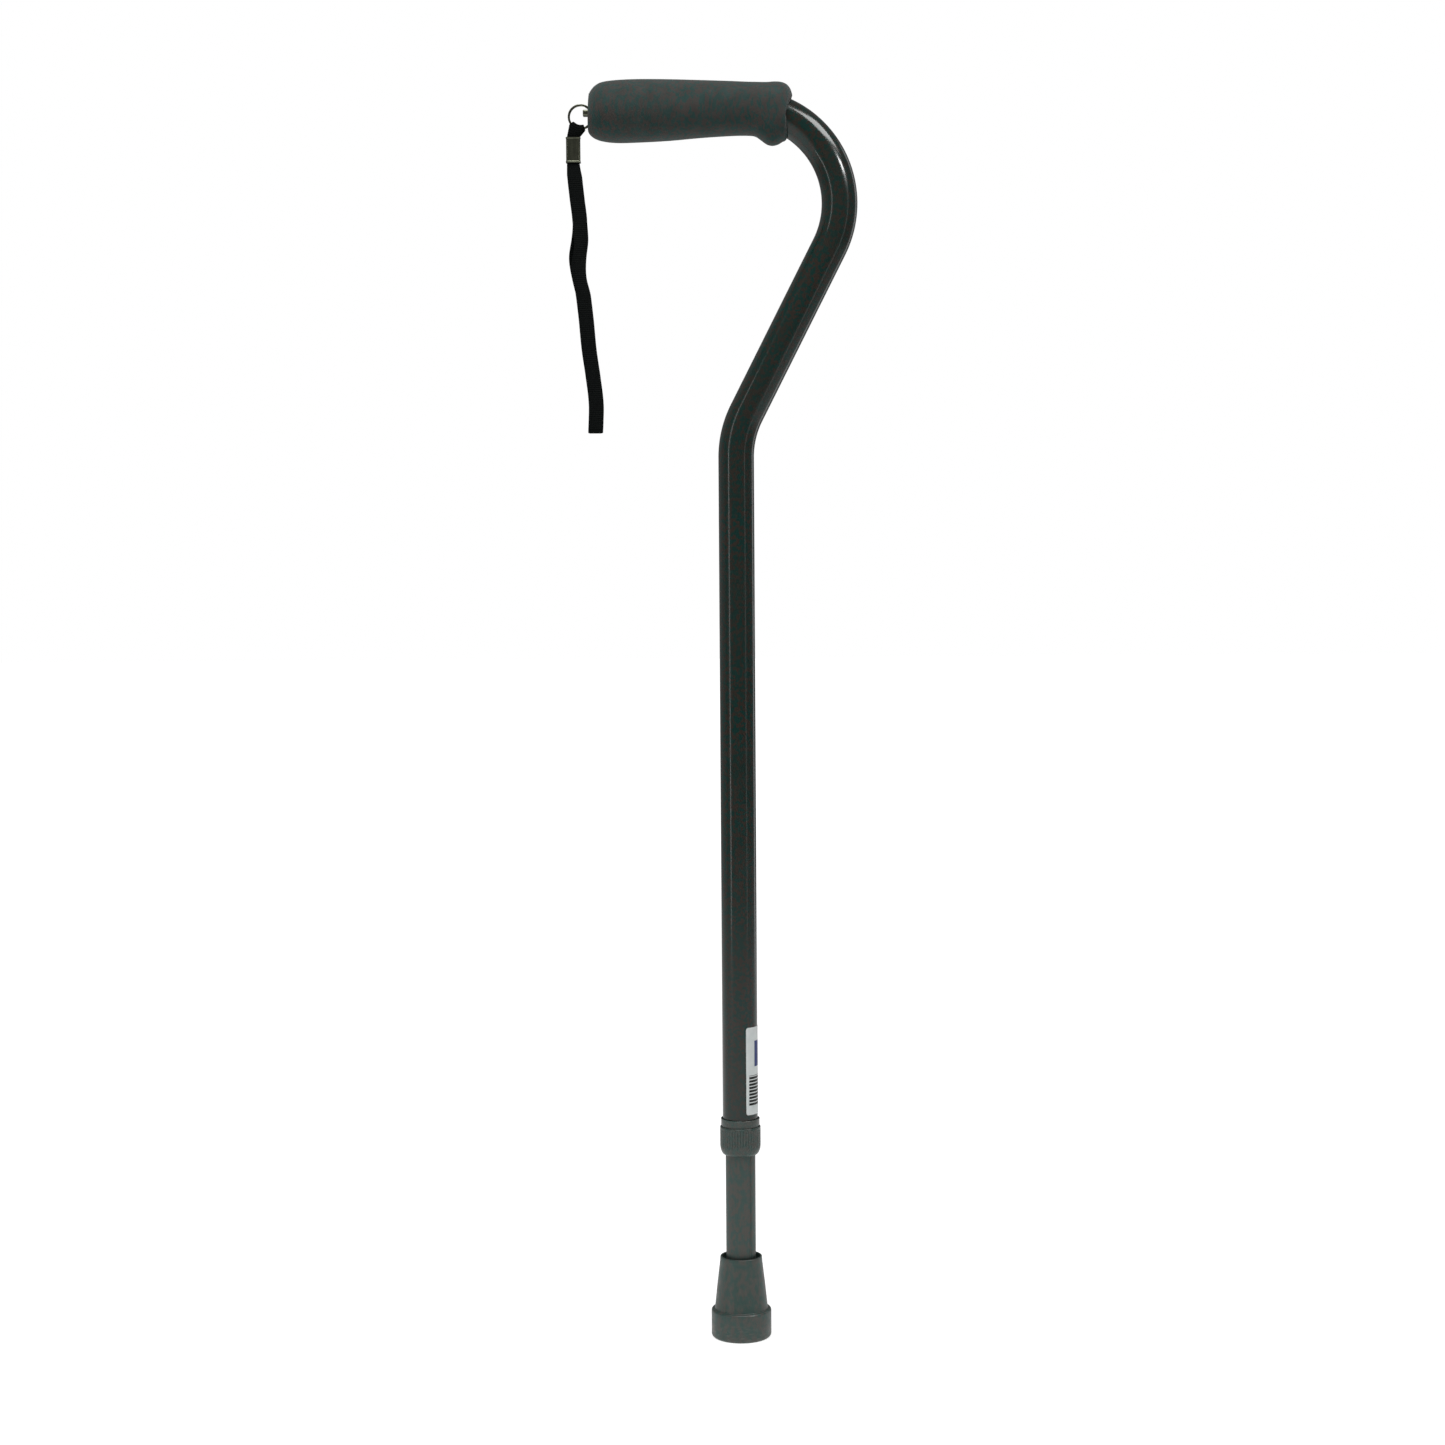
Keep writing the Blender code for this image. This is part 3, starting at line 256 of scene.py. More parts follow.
# Weave of the webbing
COLUMN_PITCH = 1.1 * MM
RIB_PITCH = 1.3 * MM

# Colours in linear RGB; those in pairs are mottled or streaked together
PAINT_PAIR = ((0.001, 0.030, 0.025), (0.031, 0.022, 0.016))
PAINT_BROAD = (0.015, 0.022, 0.017)
SATIN_PAIR = ((0.041, 0.086, 0.077), (0.084, 0.081, 0.071))
SATIN_LINE = (0.094, 0.112, 0.103)
FOAM_PAIR = ((0.000, 0.038, 0.033), (0.037, 0.030, 0.025))
FOAM_WORN = (0.018, 0.030, 0.026)
TIP_PAIR = ((0.038, 0.080, 0.070), (0.078, 0.080, 0.070))
TIP_DUST = (0.13, 0.135, 0.12)
COLLAR_PAIR = ((0.038, 0.076, 0.067), (0.070, 0.074, 0.064))
INSERT_PAIR = ((0.014, 0.016, 0.016), (0.026, 0.026, 0.025))
PLATE_PAIR = ((0.18, 0.188, 0.135), (0.12, 0.13, 0.095))
STEEL_PAIR = ((0.42, 0.42, 0.41), (0.58, 0.57, 0.55))
# the webbing's two colours: painted shade in the weave's hollows, and its ribs
NYLON_SHADE_PAIR = ((0.0006, 0.0012, 0.0011), (0.005, 0.0065, 0.0062))
PAPER_PAIR = ((0.78, 0.84, 0.83), (0.86, 0.90, 0.89))
PRINT_BLACK = (0.012, 0.014, 0.012)
PRINT_BLUE = (0.015, 0.035, 0.20)
FLOOR_WHITE = (0.8, 0.8, 0.795)

# Height above the floor over which the tip's dust fades out
DUST_HEIGHT = 14.0 * MM

# Camera
CAMERA_AT = (-9.7 * MM, -1.6, 493.1 * MM)
CAMERA_PITCH = radians(86.478)
CAMERA_ROLL = radians(-0.38)
CAMERA_FIELD = radians(31.846)

# Floor: its glow and bounced light change between two distances from the object
FLOOR_GLOW = 0.8
FLOOR_BOUNCE = 0.38
FLOOR_POOL = (0.8, 2.4)
FLOOR_REACH = 12.0

# Light: name, place, the point it faces, size and power
SURROUND_LIGHT = 0.17
SOFTBOXES = (
    ("overhead_softbox", (-0.15, -0.75, 2.1), (0.0, 0.0, 0.6), (1.3, 0.9), 20.0),
    ("key_softbox", (1.23, -0.73, 2.195), (0.05, 0.0, 0.76), (1.15, 0.7), 22.8),
    ("small_softbox", (1.51, -1.137, 1.544), (0.066, 0.0, 0.741), (0.4, 0.22), 9.0),
    ("left_strip", (-1.44, -1.165, 0.5), (0.0, 0.0, 0.5), (0.12, 2.0), 2.6),
    ("left_wall", (-1.5, 0.5, 0.7), (0.0, 0.0, 0.6), (1.6, 1.8), 0.7),
    ("right_strip", (1.5, -1.05, 0.5), (0.0, 0.0, 0.5), (0.12, 2.0), 0.8),
    ("right_rim", (1.2, 0.9, 0.6), (0.0, 0.0, 0.5), (0.3, 2.0), 2.2),
)
HIGHLIGHTS_ONLY = ("key_softbox", "small_softbox")


# ---------------- camera, light and floor

def add_object(name, data):
    """A new object in the scene."""
    obj = bpy.data.objects.new(name, data)
    bpy.context.collection.objects.link(obj)
    return obj


def add_camera():
    data = bpy.data.cameras.new("camera")
    data.sensor_fit = "HORIZONTAL"
    data.angle = CAMERA_FIELD
    data.clip_end = 100.0
    camera = add_object("camera", data)
    turn = Matrix.Rotation(CAMERA_PITCH, 4, "X") @ Matrix.Rotation(CAMERA_ROLL, 4, "Z")
    camera.matrix_world = Matrix.Translation(CAMERA_AT) @ turn
    bpy.context.scene.camera = camera


def add_softbox(name, location, target, size, power):
    """A rectangular studio light that faces a point; those for highlights leave matt surfaces as they are."""
    data = bpy.data.lights.new(name, "AREA")
    data.shape = "RECTANGLE"
    data.size, data.size_y = size
    data.energy = power
    light = add_object(name, data)
    light.location = location
    direction = Vector(target) - Vector(location)
    light.rotation_euler = direction.to_track_quat("-Z", "Y").to_euler()
    light.visible_diffuse = name not in HIGHLIGHTS_ONLY


def add_studio():
    """A white surround that lights the object less than it shows, and the lights."""
    world = bpy.data.worlds.new("studio")
    bpy.context.scene.world = world
    world.use_nodes = True
    tree = world.node_tree
    background = tree.nodes["Background"]
    background.inputs["Color"].default_value = (1.0, 1.0, 1.0, 1.0)
    path = tree.nodes.new("ShaderNodeLightPath")
    strength = tree.nodes.new("ShaderNodeMapRange")
    strength.inputs["To Min"].default_value = SURROUND_LIGHT
    strength.inputs["To Max"].default_value = 1.0
    tree.links.new(path.outputs["Is Camera Ray"], strength.inputs["Value"])
    tree.links.new(strength.outputs["Result"], background.inputs["Strength"])
    for softbox in SOFTBOXES:
        add_softbox(*softbox)


def add_floor():
    """A plain white floor that fades into the white surround."""
    bm = bmesh.new()
    bmesh.ops.create_grid(bm, x_segments=8, y_segments=8, size=FLOOR_REACH)
    mesh = bpy.data.meshes.new("floor")
    bm.to_mesh(mesh)
    bm.free()
    finish = Finish("floor_paper", FLOOR_WHITE, 0.9)
    finish.bump(finish.noise(4.0 * MM, detail=3.0), 0.04 * MM)
    finish.set("Emission Color", (1.0, 1.0, 1.0, 1.0))
    reach = finish.node("ShaderNodeVectorMath", {0: finish.position()}, operation="LENGTH").outputs["Value"]
    bounce = finish.remap(reach, *FLOOR_POOL, FLOOR_BOUNCE, 0.0)
    glow = finish.remap(reach, *FLOOR_POOL, FLOOR_GLOW, 1.0)
    seen = finish.node("ShaderNodeLightPath").outputs["Is Camera Ray"]
    finish.wire(finish.remap(seen, 0.0, 1.0, bounce, glow), "Emission Strength")
    mesh.materials.append(finish.material)
    add_object("floor", mesh)


# ---------------- procedural materials

class Finish:
    """A Principled material and the nodes that give it detail; sizes are in metres of the object's space."""

    def __init__(self, name, colour, roughness, metallic=0.0, sockets=None):
        self.material = bpy.data.materials.new(name)
        self.material.use_nodes = True
        self.tree = self.material.node_tree
        self.shader = self.tree.nodes["Principled BSDF"]
        self.set("Base Color", (*colour, 1.0))
        self.set("Roughness", roughness)
        self.set("Metallic", metallic)
        for socket, value in (sockets or {}).items():
            self.set(socket, value)
        self.last_bump = None

    def set(self, socket, value):
        self.shader.inputs[socket].default_value = value

    def wire(self, value, socket):
        """Feed a node's output into one of the shader's sockets."""
        self.tree.links.new(value, self.shader.inputs[socket])

    def node(self, kind, inputs=None, **settings):
        """A new node with its settings; inputs maps a socket to a number or to another node's output."""
        made = self.tree.nodes.new(kind)
        for key, value in settings.items():
            setattr(made, key, value)
        for socket, value in (inputs or {}).items():
            if isinstance(value, bpy.types.NodeSocket):
                self.tree.links.new(value, made.inputs[socket])
            else:
                made.inputs[socket].default_value = value
        return made

    def position(self, stretch=(1.0, 1.0, 1.0), uv=False):
        """Object coordinates in metres, or the piece's own UV map, scaled along each axis."""
        source = self.node("ShaderNodeTexCoord").outputs["UV" if uv else "Object"]
        return self.node("ShaderNodeMapping", {"Vector": source, "Scale": stretch}).outputs[0]

    def place_on_map(self):
        """The two numbers of the piece's own UV map."""
        split = self.node("ShaderNodeSeparateXYZ", {0: self.position(uv=True)})
        return split.outputs[0], split.outputs[1]

    def noise(self, size, detail=2.0, stretch=(1.0, 1.0, 1.0)):
        sockets = {"Vector": self.position(stretch), "Scale": 1.0 / size, "Detail": detail}
        return self.node("ShaderNodeTexNoise", sockets).outputs[0]

    def cells(self, size):
        sockets = {"Vector": self.position(), "Scale": 1.0 / size}
        return self.node("ShaderNodeTexVoronoi", sockets).outputs["Distance"]

    def remap(self, value, low, high, to_low=0.0, to_high=1.0):
        sockets = {"Value": value, "From Min": low, "From Max": high, "To Min": to_low, "To Max": to_high}
        return self.node("ShaderNodeMapRange", sockets).outputs["Result"]

    def maths(self, operation, first, second=0.0):
        return self.node("ShaderNodeMath", {0: first, 1: second}, operation=operation).outputs[0]

    def wave(self, value, pitch, shift=0.0):
        """A sine along a length, with a pitch in metres and a shift in radians."""
        angle = self.maths("MULTIPLY", value, tau / pitch)
        return self.maths("SINE", self.maths("ADD", angle, shift))

    def within(self, value, low, high):
        """One where a value lies between two others, and nought elsewhere."""
        above = self.maths("GREATER_THAN", value, low)
        return self.maths("MULTIPLY", above, self.maths("LESS_THAN", value, high))

    def mix(self, share, first, second):
        """A colour between two, each of them an RGB triple or another node's output."""
        sockets = {"Factor": share}
        for socket, value in ((6, first), (7, second)):
            sockets[socket] = (*value, 1.0) if isinstance(value, tuple) else value
        return self.node("ShaderNodeMix", sockets, data_type="RGBA").outputs[2]

    def mottle(self, value, edges, first, second):
        """Blotches of two colours that meet where a value goes from one edge to the other."""
        return self.mix(self.remap(value, *edges), first, second)

    def vary_roughness(self, value, smooth, rough, edges=(0.3, 0.7)):
        """Let the roughness follow a value from one edge to the other."""
        self.wire(self.remap(value, *edges, smooth, rough), "Roughness")

    def bump(self, height, depth, strength=1.0):
        """Add relief of a depth in metres, on top of any relief added before."""
        sockets = {"Height": height, "Distance": depth, "Strength": strength}
        if self.last_bump:
            sockets["Normal"] = self.last_bump
        self.last_bump = self.node("ShaderNodeBump", sockets).outputs[0]
        self.wire(self.last_bump, "Normal")


def black_paint():
    """Smooth black enamel with a faint mottle, orange peel and handling marks."""
    coat = {"Specular IOR Level": 0.4, "Coat Weight": 0.25, "Coat Roughness": 0.05}
    made = Finish("black_paint", (0.017, 0.028, 0.023), 0.16, sockets=coat)
    tone = made.mottle(made.noise(2.6 * MM), (0.44, 0.56), *PAINT_PAIR)
    broad = made.remap(made.noise(30.0 * MM), 0.35, 0.65, 0.0, 0.5)
    made.wire(made.mix(broad, tone, PAINT_BROAD), "Base Color")
    made.vary_roughness(made.noise(12.0 * MM, detail=4.0), 0.12, 0.24, (0.3, 0.75))
    made.bump(made.noise(3.0 * MM, detail=1.0), 0.004 * MM)
    return made.material


def satin_metal():
    """Dull grey anodised tube with fine lines along its length."""
    made = Finish("satin_metal", (0.09, 0.12, 0.11), 0.45, 0.2)
    lines = made.noise(0.6 * MM, detail=3.0, stretch=(1.0, 1.0, 0.02))
    blotches = made.noise(2.5 * MM, stretch=(1.0, 1.0, 0.6))
    tone = made.mottle(blotches, (0.42, 0.58), *SATIN_PAIR)
    made.wire(made.mix(made.remap(lines, 0.3, 0.7, 0.0, 0.4), tone, SATIN_LINE), "Base Color")
    made.vary_roughness(lines, 0.38, 0.55)
    made.bump(lines, 0.02 * MM, 0.6)
    return made.material


def foam_rubber():
    """Closed-cell foam: fine open pores, a soft sheen and patches worn smooth."""
    sheen = {"Sheen Weight": 0.15, "Sheen Roughness": 0.6}
    made = Finish("foam_rubber", (0.035, 0.043, 0.04), 0.92, sockets=sheen)
    blotches = made.noise(2.1 * MM, detail=3.0, stretch=(1.0, 1.0, 0.42))
    tone = made.mottle(blotches, (0.44, 0.54), *FOAM_PAIR)
    broad = made.remap(made.noise(20.0 * MM, detail=3.0), 0.35, 0.65, 0.0, 0.35)
    made.wire(made.mix(broad, tone, FOAM_WORN), "Base Color")
    made.vary_roughness(made.noise(8.0 * MM, detail=3.0), 0.84, 0.98)
    made.bump(made.cells(0.7 * MM), 0.12 * MM, 0.7)
    made.bump(made.noise(4.0 * MM, detail=3.0), 0.1 * MM, 0.6)
    return made.material


def tip_rubber():
    """Moulded rubber, a little dusty and scuffed towards the ground."""
    made = Finish("tip_rubber", (0.08, 0.105, 0.095), 0.4)
    blotches = made.noise(2.8 * MM, detail=3.0, stretch=(1.0, 1.0, 0.6))
    tone = made.mottle(blotches, (0.4, 0.6), *TIP_PAIR)
    height = made.node("ShaderNodeSeparateXYZ", {0: made.position()}).outputs[2]
    low = made.remap(height, 0.0, DUST_HEIGHT, 1.0, 0.0)
    scuffs = made.remap(made.noise(3.5 * MM, detail=6.0, stretch=(1.0, 1.0, 3.0)), 0.5, 0.72)
    made.wire(made.mix(made.maths("MULTIPLY", low, scuffs), tone, TIP_DUST), "Base Color")
    made.vary_roughness(made.noise(5.0 * MM, detail=3.0), 0.32, 0.46)
    made.bump(made.noise(0.6 * MM), 0.04 * MM, 0.8)
    made.bump(made.noise(10.0 * MM, detail=3.0), 0.1 * MM, 0.4)
    return made.material


def collar_plastic():
    """Matt moulded plastic with a fine spark-eroded grain."""
    made = Finish("collar_plastic", (0.068, 0.092, 0.082), 0.42)
    made.wire(made.mottle(made.noise(2.5 * MM), (0.4, 0.6), *COLLAR_PAIR), "Base Color")
    made.vary_roughness(made.noise(3.0 * MM, detail=3.0), 0.2, 0.32)
    made.bump(made.noise(0.35 * MM, detail=1.0), 0.02 * MM, 0.6)
    return made.material


def dark_plastic():
    """Smoother black plastic of the hidden inserts."""
    made = Finish("dark_plastic", (0.02, 0.021, 0.021), 0.45)
    made.wire(made.mix(made.noise(3.0 * MM), *INSERT_PAIR), "Base Color")
    made.vary_roughness(made.noise(2.0 * MM, detail=3.0), 0.35, 0.55)
    made.bump(made.noise(0.5 * MM), 0.02 * MM, 0.5)
    return made.material


def dark_plate():
    """Dark metal plate, slightly yellow, with hairline scratches and a duller tarnish."""
    made = Finish("dark_plate", PLATE_PAIR[0], 0.2, 1.0)
    tarnish = made.noise(3.0 * MM, detail=4.0)
    made.wire(made.mottle(tarnish, (0.35, 0.7), *PLATE_PAIR), "Base Color")
    scratches = made.noise(0.8 * MM, detail=4.0, stretch=(1.0, 1.0, 0.08))
    made.vary_roughness(scratches, 0.12, 0.3)
    made.bump(scratches, 0.01 * MM, 0.5)
    return made.material


def spring_steel():
    """Plain rolled steel with its rolling lines."""
    made = Finish("spring_steel", (0.50, 0.50, 0.49), 0.32, 1.0)
    lines = made.noise(0.4 * MM, detail=3.0, stretch=(1.0, 1.0, 0.05))
    made.wire(made.mix(made.noise(2.0 * MM, detail=4.0), *STEEL_PAIR), "Base Color")
    made.vary_roughness(lines, 0.25, 0.42)
    made.bump(lines, 0.01 * MM, 0.6)
    return made.material


def nylon_webbing():
    """Black nylon: ribs across the strap, split into warp columns along it; painted shade darkens the hollows of
    the weave.
    """
    made = Finish("nylon_webbing", (0.005, 0.006, 0.006), 0.75, sockets={"Specular IOR Level": 0.07})
    across, along = made.place_on_map()
    columns = made.wave(across, COLUMN_PITCH)
    ribs = made.wave(along, RIB_PITCH, made.maths("MULTIPLY", columns, 0.25 * pi))
    weave = made.maths("ADD", made.maths("MULTIPLY", made.maths("ABSOLUTE", columns), 0.5), ribs)
    # painted shade: the colour is darkest where the weave's relief is lowest
    made.wire(made.mottle(weave, (-1.0, 1.5), *NYLON_SHADE_PAIR), "Base Color")
    made.bump(weave, 0.12 * MM, 0.7)
    made.bump(made.noise(0.3 * MM), 0.03 * MM, 0.6)
    return made.material


def sticker_paper():
    """White coated paper with a plain blue bar and a block of even dark bars: no words and no code."""
    made = Finish("sticker_paper", (0.78, 0.80, 0.80), 0.35, sockets={"Specular IOR Level": 0.3})
    across, up = made.place_on_map()
    paper = made.mottle(made.noise(4.0 * MM, detail=3.0), (0.3, 0.7), *PAPER_PAIR)
    block = made.maths("MULTIPLY", made.within(across, *BARS_ACROSS), made.within(up, *BARS_UP))
    bars = made.maths("GREATER_THAN", made.wave(up, BARS_PITCH), BARS_LEVEL)
    with_bars = made.mix(made.maths("MULTIPLY", bars, block), paper, PRINT_BLACK)
    blue = made.maths("MULTIPLY", made.within(across, *BLUE_ACROSS), made.within(up, *BLUE_UP))
    made.wire(made.mix(blue, with_bars, PRINT_BLUE), "Base Color")
    made.vary_roughness(made.noise(2.0 * MM), 0.3, 0.45)
    made.bump(made.noise(0.8 * MM), 0.01 * MM, 0.5)
    return made.material


# ---------------- mesh building

def outward_mesh(name, bm):
    """A mesh of a bmesh, its normals outward; the bmesh is used up."""
    bmesh.ops.recalc_face_normals(bm, faces=bm.faces)
    mesh = bpy.data.meshes.new(name)
    bm.to_mesh(mesh)
    bm.free()
    return mesh


def shade(mesh, sharp):
    """Smooth shading, except over edges sharper than an angle in degrees."""
    mesh.shade_smooth()
    mesh.set_sharp_from_angle(angle=radians(sharp))


def add_piece(name, bm, finish, body, replaced=(), sharp=35.0):
    """Turn a bmesh into a smooth-shaded piece that rides on a body, if any, and stands for CAD nodes."""
    mesh = outward_mesh(name, bm)
    mesh.materials.append(finish)
    shade(mesh, sharp)
    obj = add_object(name, mesh)
    if body:
        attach(obj, body)
    if replaced:
        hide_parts(*replaced)
    return obj


def apply_modifiers(obj):
    """Make a piece's modifiers part of its mesh."""
    graph = bpy.context.evaluated_depsgraph_get()
    mesh = bpy.data.meshes.new_from_object(obj.evaluated_get(graph))
    obj.modifiers.clear()
    obj.data = mesh


def cut(obj, bm):
    """Cut a tool's shape out of a piece."""
    tool = add_object("tool", outward_mesh("tool", bm))
    boolean = obj.modifiers.new("cut", "BOOLEAN")
    boolean.operation = "DIFFERENCE"
    boolean.solver = "EXACT"
    boolean.object = tool
    apply_modifiers(obj)
    bpy.data.objects.remove(tool)
    shade(obj.data, 35.0)


def round_edges(obj, width):
    """Bevel a piece's sharp edges."""
    bevel = obj.modifiers.new("round_edges", "BEVEL")
    bevel.width = width
    bevel.segments = 3
    bevel.limit_method = "ANGLE"
    bevel.angle_limit = radians(40.0)
    apply_modifiers(obj)
    shade(obj.data, 30.0)


def split_large_faces(obj):
    """Cut faces with more than four corners into triangles, so that a face round a hole keeps its opening."""
    bm = bmesh.new()
    bm.from_mesh(obj.data)
    bmesh.ops.triangulate(bm, faces=[face for face in bm.faces if len(face.verts) > 4])
    bm.to_mesh(obj.data)
    bm.free()


def join_rings(bm, rings, loop=False):
    """Faces between successive rings of points; a loop also joins the last ring to the first."""
    made = [[bm.verts.new(point) for point in ring] for ring in rings]
    pairs = list(zip(made, made[1:]))
    if loop:
        pairs.append((made[-1], made[0]))
    count = len(rings[0])
    for low, high in pairs:
        for i in range(count):
            j = (i + 1) % count
            bm.faces.new((low[i], low[j], high[j], high[i]))
    return made


def join_and_cap(bm, rings):
    """Faces between successive rings of points, and one over each end."""
    made = join_rings(bm, rings)
    bm.faces.new(made[0])
    bm.faces.new(made[-1])
    return made


def solid_of_rings(rings):
    bm = bmesh.new()
    join_and_cap(bm, rings)
    return bm


def hollow_of_rings(rings):
    bm = bmesh.new()
    join_rings(bm, rings, loop=True)
    return bm


def add_map(bm, name, places):
    """A UV map that puts each vertex at its place."""
    layer = bm.loops.layers.uv.new(name)
    for face in bm.faces:
        for corner in face.loops:
            corner[layer].uv = places[corner.vert]


def circle(radius, z, sides):
    angles = (tau * i / sides for i in range(sides))
    return [Vector((radius * cos(a), radius * sin(a), z)) for a in angles]


def rounded_rectangle(width, height, radius, steps):
    """Points round a rectangle with rounded corners, with a number of steps in each corner."""
    points = []
    for quarter, (side, rise) in enumerate(((1, 1), (-1, 1), (-1, -1), (1, -1))):
        for i in range(steps + 1):
            a = radians(90.0 * (quarter + i / steps))
            x = side * (width / 2.0 - radius) + radius * cos(a)
            points.append((x, rise * (height / 2.0 - radius) + radius * sin(a)))
    return points


def turned(profile, sides, hollow=True):
    """A turned body from (radius, z) points."""
    rings = [circle(radius, z, sides) for radius, z in profile]
    return hollow_of_rings(rings) if hollow else solid_of_rings(rings)


def from_mm(pairs, z0=0.0):
    """Pairs in mm as metres, the second number of each counted from z0."""
    return [(first * MM, z0 + second * MM) for first, second in pairs]


def arc(centre, radius, start, end, steps):
    """Points of an arc in a plane, its angles in degrees."""
    angles = (radians(start + (end - start) * i / steps) for i in range(steps + 1))
    return [(centre[0] + radius * cos(a), centre[1] + radius * sin(a)) for a in angles]


def aim(bm, origin, direction):
    """Turn a body drawn along +Z so that it runs from a point in a direction."""
    turn = Vector((0.0, 0.0, 1.0)).rotation_difference(Vector(direction)).to_matrix().to_4x4()
    turn.translation = Vector(origin)
    bmesh.ops.transform(bm, matrix=turn, verts=bm.verts)
    return bm


def straight_steps(points, steps):
    """Points on the straight lines between the given ones, with a number of steps between each two."""
    made = []
    for (a, b), (c, d) in zip(points, points[1:]):
        made += [(a + (c - a) * i / steps, b + (d - b) * i / steps) for i in range(steps)]
    made.append(points[-1])
    return made


def spline(before, start, end, after, t):
    """A number between two, at a share t of the way, on a smooth curve that also heeds their neighbours."""
    bend = (2.0 * before - 5.0 * start + 4.0 * end - after) * t * t
    bend += (3.0 * start - before - 3.0 * end + after) * t * t * t
    return 0.5 * (2.0 * start + (end - before) * t + bend)


def neighbours(points, i):
    """The i-th point, the one before and the two after it, with the end point for any that is missing."""
    last = len(points) - 1
    return [points[min(max(k, 0), last)] for k in range(i - 1, i + 3)]


def smooth_steps(points, steps):
    """Points on a smooth curve through the given tuples, with a number of steps between each two."""
    made = []
    for i in range(len(points) - 1):
        four = neighbours(points, i)
        for step in range(steps):
            made.append(tuple(spline(*numbers, step / steps) for numbers in zip(*four)))
    made.append(tuple(points[-1]))
    return made


def clamped(share):
    return min(1.0, max(0.0, share))


def eased(share):
    """A share that starts and ends gently."""
    return share * share * (3.0 - 2.0 * share)


# ---------------- shaft

def upper_bend_centre():
    z = HANDLE_TOP_Z - UPPER_BEND_RADIUS
    x = ((z - LOWER_BEND_VERTEX_Z) * sin(SLANT) - UPPER_BEND_RADIUS) / cos(SLANT)
    return x, z


def bend_station(angle, outset=0.0):
    """A point of the upper bend at an angle, an outset outside its centreline, and the direction outward."""
    x, z = upper_bend_centre()
    outward = Vector((cos(angle), 0.0, sin(angle)))
    return Vector((x, 0.0, z)) + outward * (UPPER_BEND_RADIUS + outset), outward


def bend_angle(x):
    """Angle of the upper bend where its centreline has a given x."""
    return acos((x - upper_bend_centre()[0]) / UPPER_BEND_RADIUS)


def handle_station(x):
    """Centreline point of the handle at a given x, and the direction to the tube's upper side."""
    end, outward = bend_station(pi / 2.0 + HANDLE_DROOP)
    if x > end.x:
        return bend_station(bend_angle(x))
    return Vector((x, 0.0, end.z + (x - end.x) * tan(HANDLE_DROOP))), outward


def hole_heights():
    return [BUTTON_Z + HOLE_PITCH * step for step in range(-HOLES_BELOW_BUTTON, HOLES_ABOVE_BUTTON + 1)]


def split_heights(heights):
    """Heights just below and above each hole, so that a cut only touches a short stretch of the wall."""
    reach = HOLE_RADIUS + 1.0 * MM
    return [z + side * reach for z in heights for side in (-1.0, 1.0)]


def centreline():
    """Stations of the upper tube: (point, direction to the bend's outer side)."""
    right = Vector((1.0, 0.0, 0.0))
    stations = [(Vector((0.0, 0.0, z)), right) for z in (UPPER_END_Z, *split_heights(hole_heights()))]
    start_z = LOWER_BEND_VERTEX_Z - LOWER_BEND_RADIUS * tan(SLANT / 2.0)
    for i in range(LOWER_BEND_STEPS + 1):
        turn = SLANT * i / LOWER_BEND_STEPS
        outward = Vector((cos(turn), 0.0, -sin(turn)))
        stations.append((Vector((LOWER_BEND_RADIUS, 0.0, start_z)) - outward * LOWER_BEND_RADIUS, outward))
    first = -SLANT
    last = pi / 2.0 + HANDLE_DROOP
    for i in range(UPPER_BEND_STEPS + 1):
        stations.append(bend_station(first + (last - first) * i / UPPER_BEND_STEPS))
    stations.append(handle_station(HANDLE_END_X))
    return stations


def section(station, radius, sides=TUBE_SIDES):
    """A circle across the tube at a station."""
    point, outward = station
    ring = []
    for i in range(sides):
        a = tau * i / sides
        ring.append(point + outward * (radius * sin(a)) + Vector((0.0, radius * cos(a), 0.0)))
    return ring


def hole_tool(heights, reach):
    """One tool with a short cylinder along +Y at each height, between the two y of its reach."""
    outline = circle(HOLE_RADIUS, 0.0, HOLE_SIDES)
    bm = bmesh.new()
    for z in heights:
        join_and_cap(bm, [[Vector((point.x, y, z + point.y)) for point in outline] for y in reach])
    return bm


def make_upper_tube(finish):
    stations = centreline()
    rings = [section(station, UPPER_RADIUS) for station in stations]
    rings += [section(station, UPPER_BORE) for station in reversed(stations)]
    bm = hollow_of_rings(rings)
    tube = add_piece("upper_shaft_tube", bm, finish, "upper_shaft", ["upper_tube"])
    cut(tube, hole_tool(hole_heights(), (5.0 * MM, 15.0 * MM)))


def grooved_circle(z):
    """The lower tube's outside, with a fine groove along it."""
    ring = circle(LOWER_RADIUS, z, TUBE_SIDES)
    ring[GROOVE_CORNER] *= (LOWER_RADIUS - GROOVE_DEPTH) / LOWER_RADIUS
    ring[GROOVE_CORNER].z = z
    return ring


def make_lower_tube(finish):
    heights = [LOWER_BOTTOM_Z, *split_heights([BUTTON_Z]), LOWER_TOP_Z]
    rings = [grooved_circle(z) for z in heights]
    rings += [circle(LOWER_BORE, z, TUBE_SIDES) for z in reversed(heights)]
    bm = hollow_of_rings(rings)
    tube = add_piece("lower_shaft_tube", bm, finish, "lower_shaft", ["lower_tube"])
    cut(tube, hole_tool([BUTTON_Z], (4.0 * MM, 12.0 * MM)))


def make_button(finish):
    """Domed steel button with its flange behind the tube wall, drawn along +Z and then aimed along +Y."""
    profile = [(FLANGE_RADIUS, FLANGE_BACK_Y), (FLANGE_RADIUS, FLANGE_FRONT_Y)]
    profile.append((BUTTON_RADIUS, FLANGE_FRONT_Y))
    for i in range(9):
        a = radians(10.0 * i)
        profile.append((BUTTON_RADIUS * cos(a), BUTTON_TIP_Y - BUTTON_DOME * (1.0 - sin(a))))
    bm = aim(turned(profile, 48, hollow=False), (0.0, 0.0, BUTTON_Z), (0.0, 1.0, 0.0))
    add_piece("height_button", bm, finish, "snap_button", ["snap_button"])


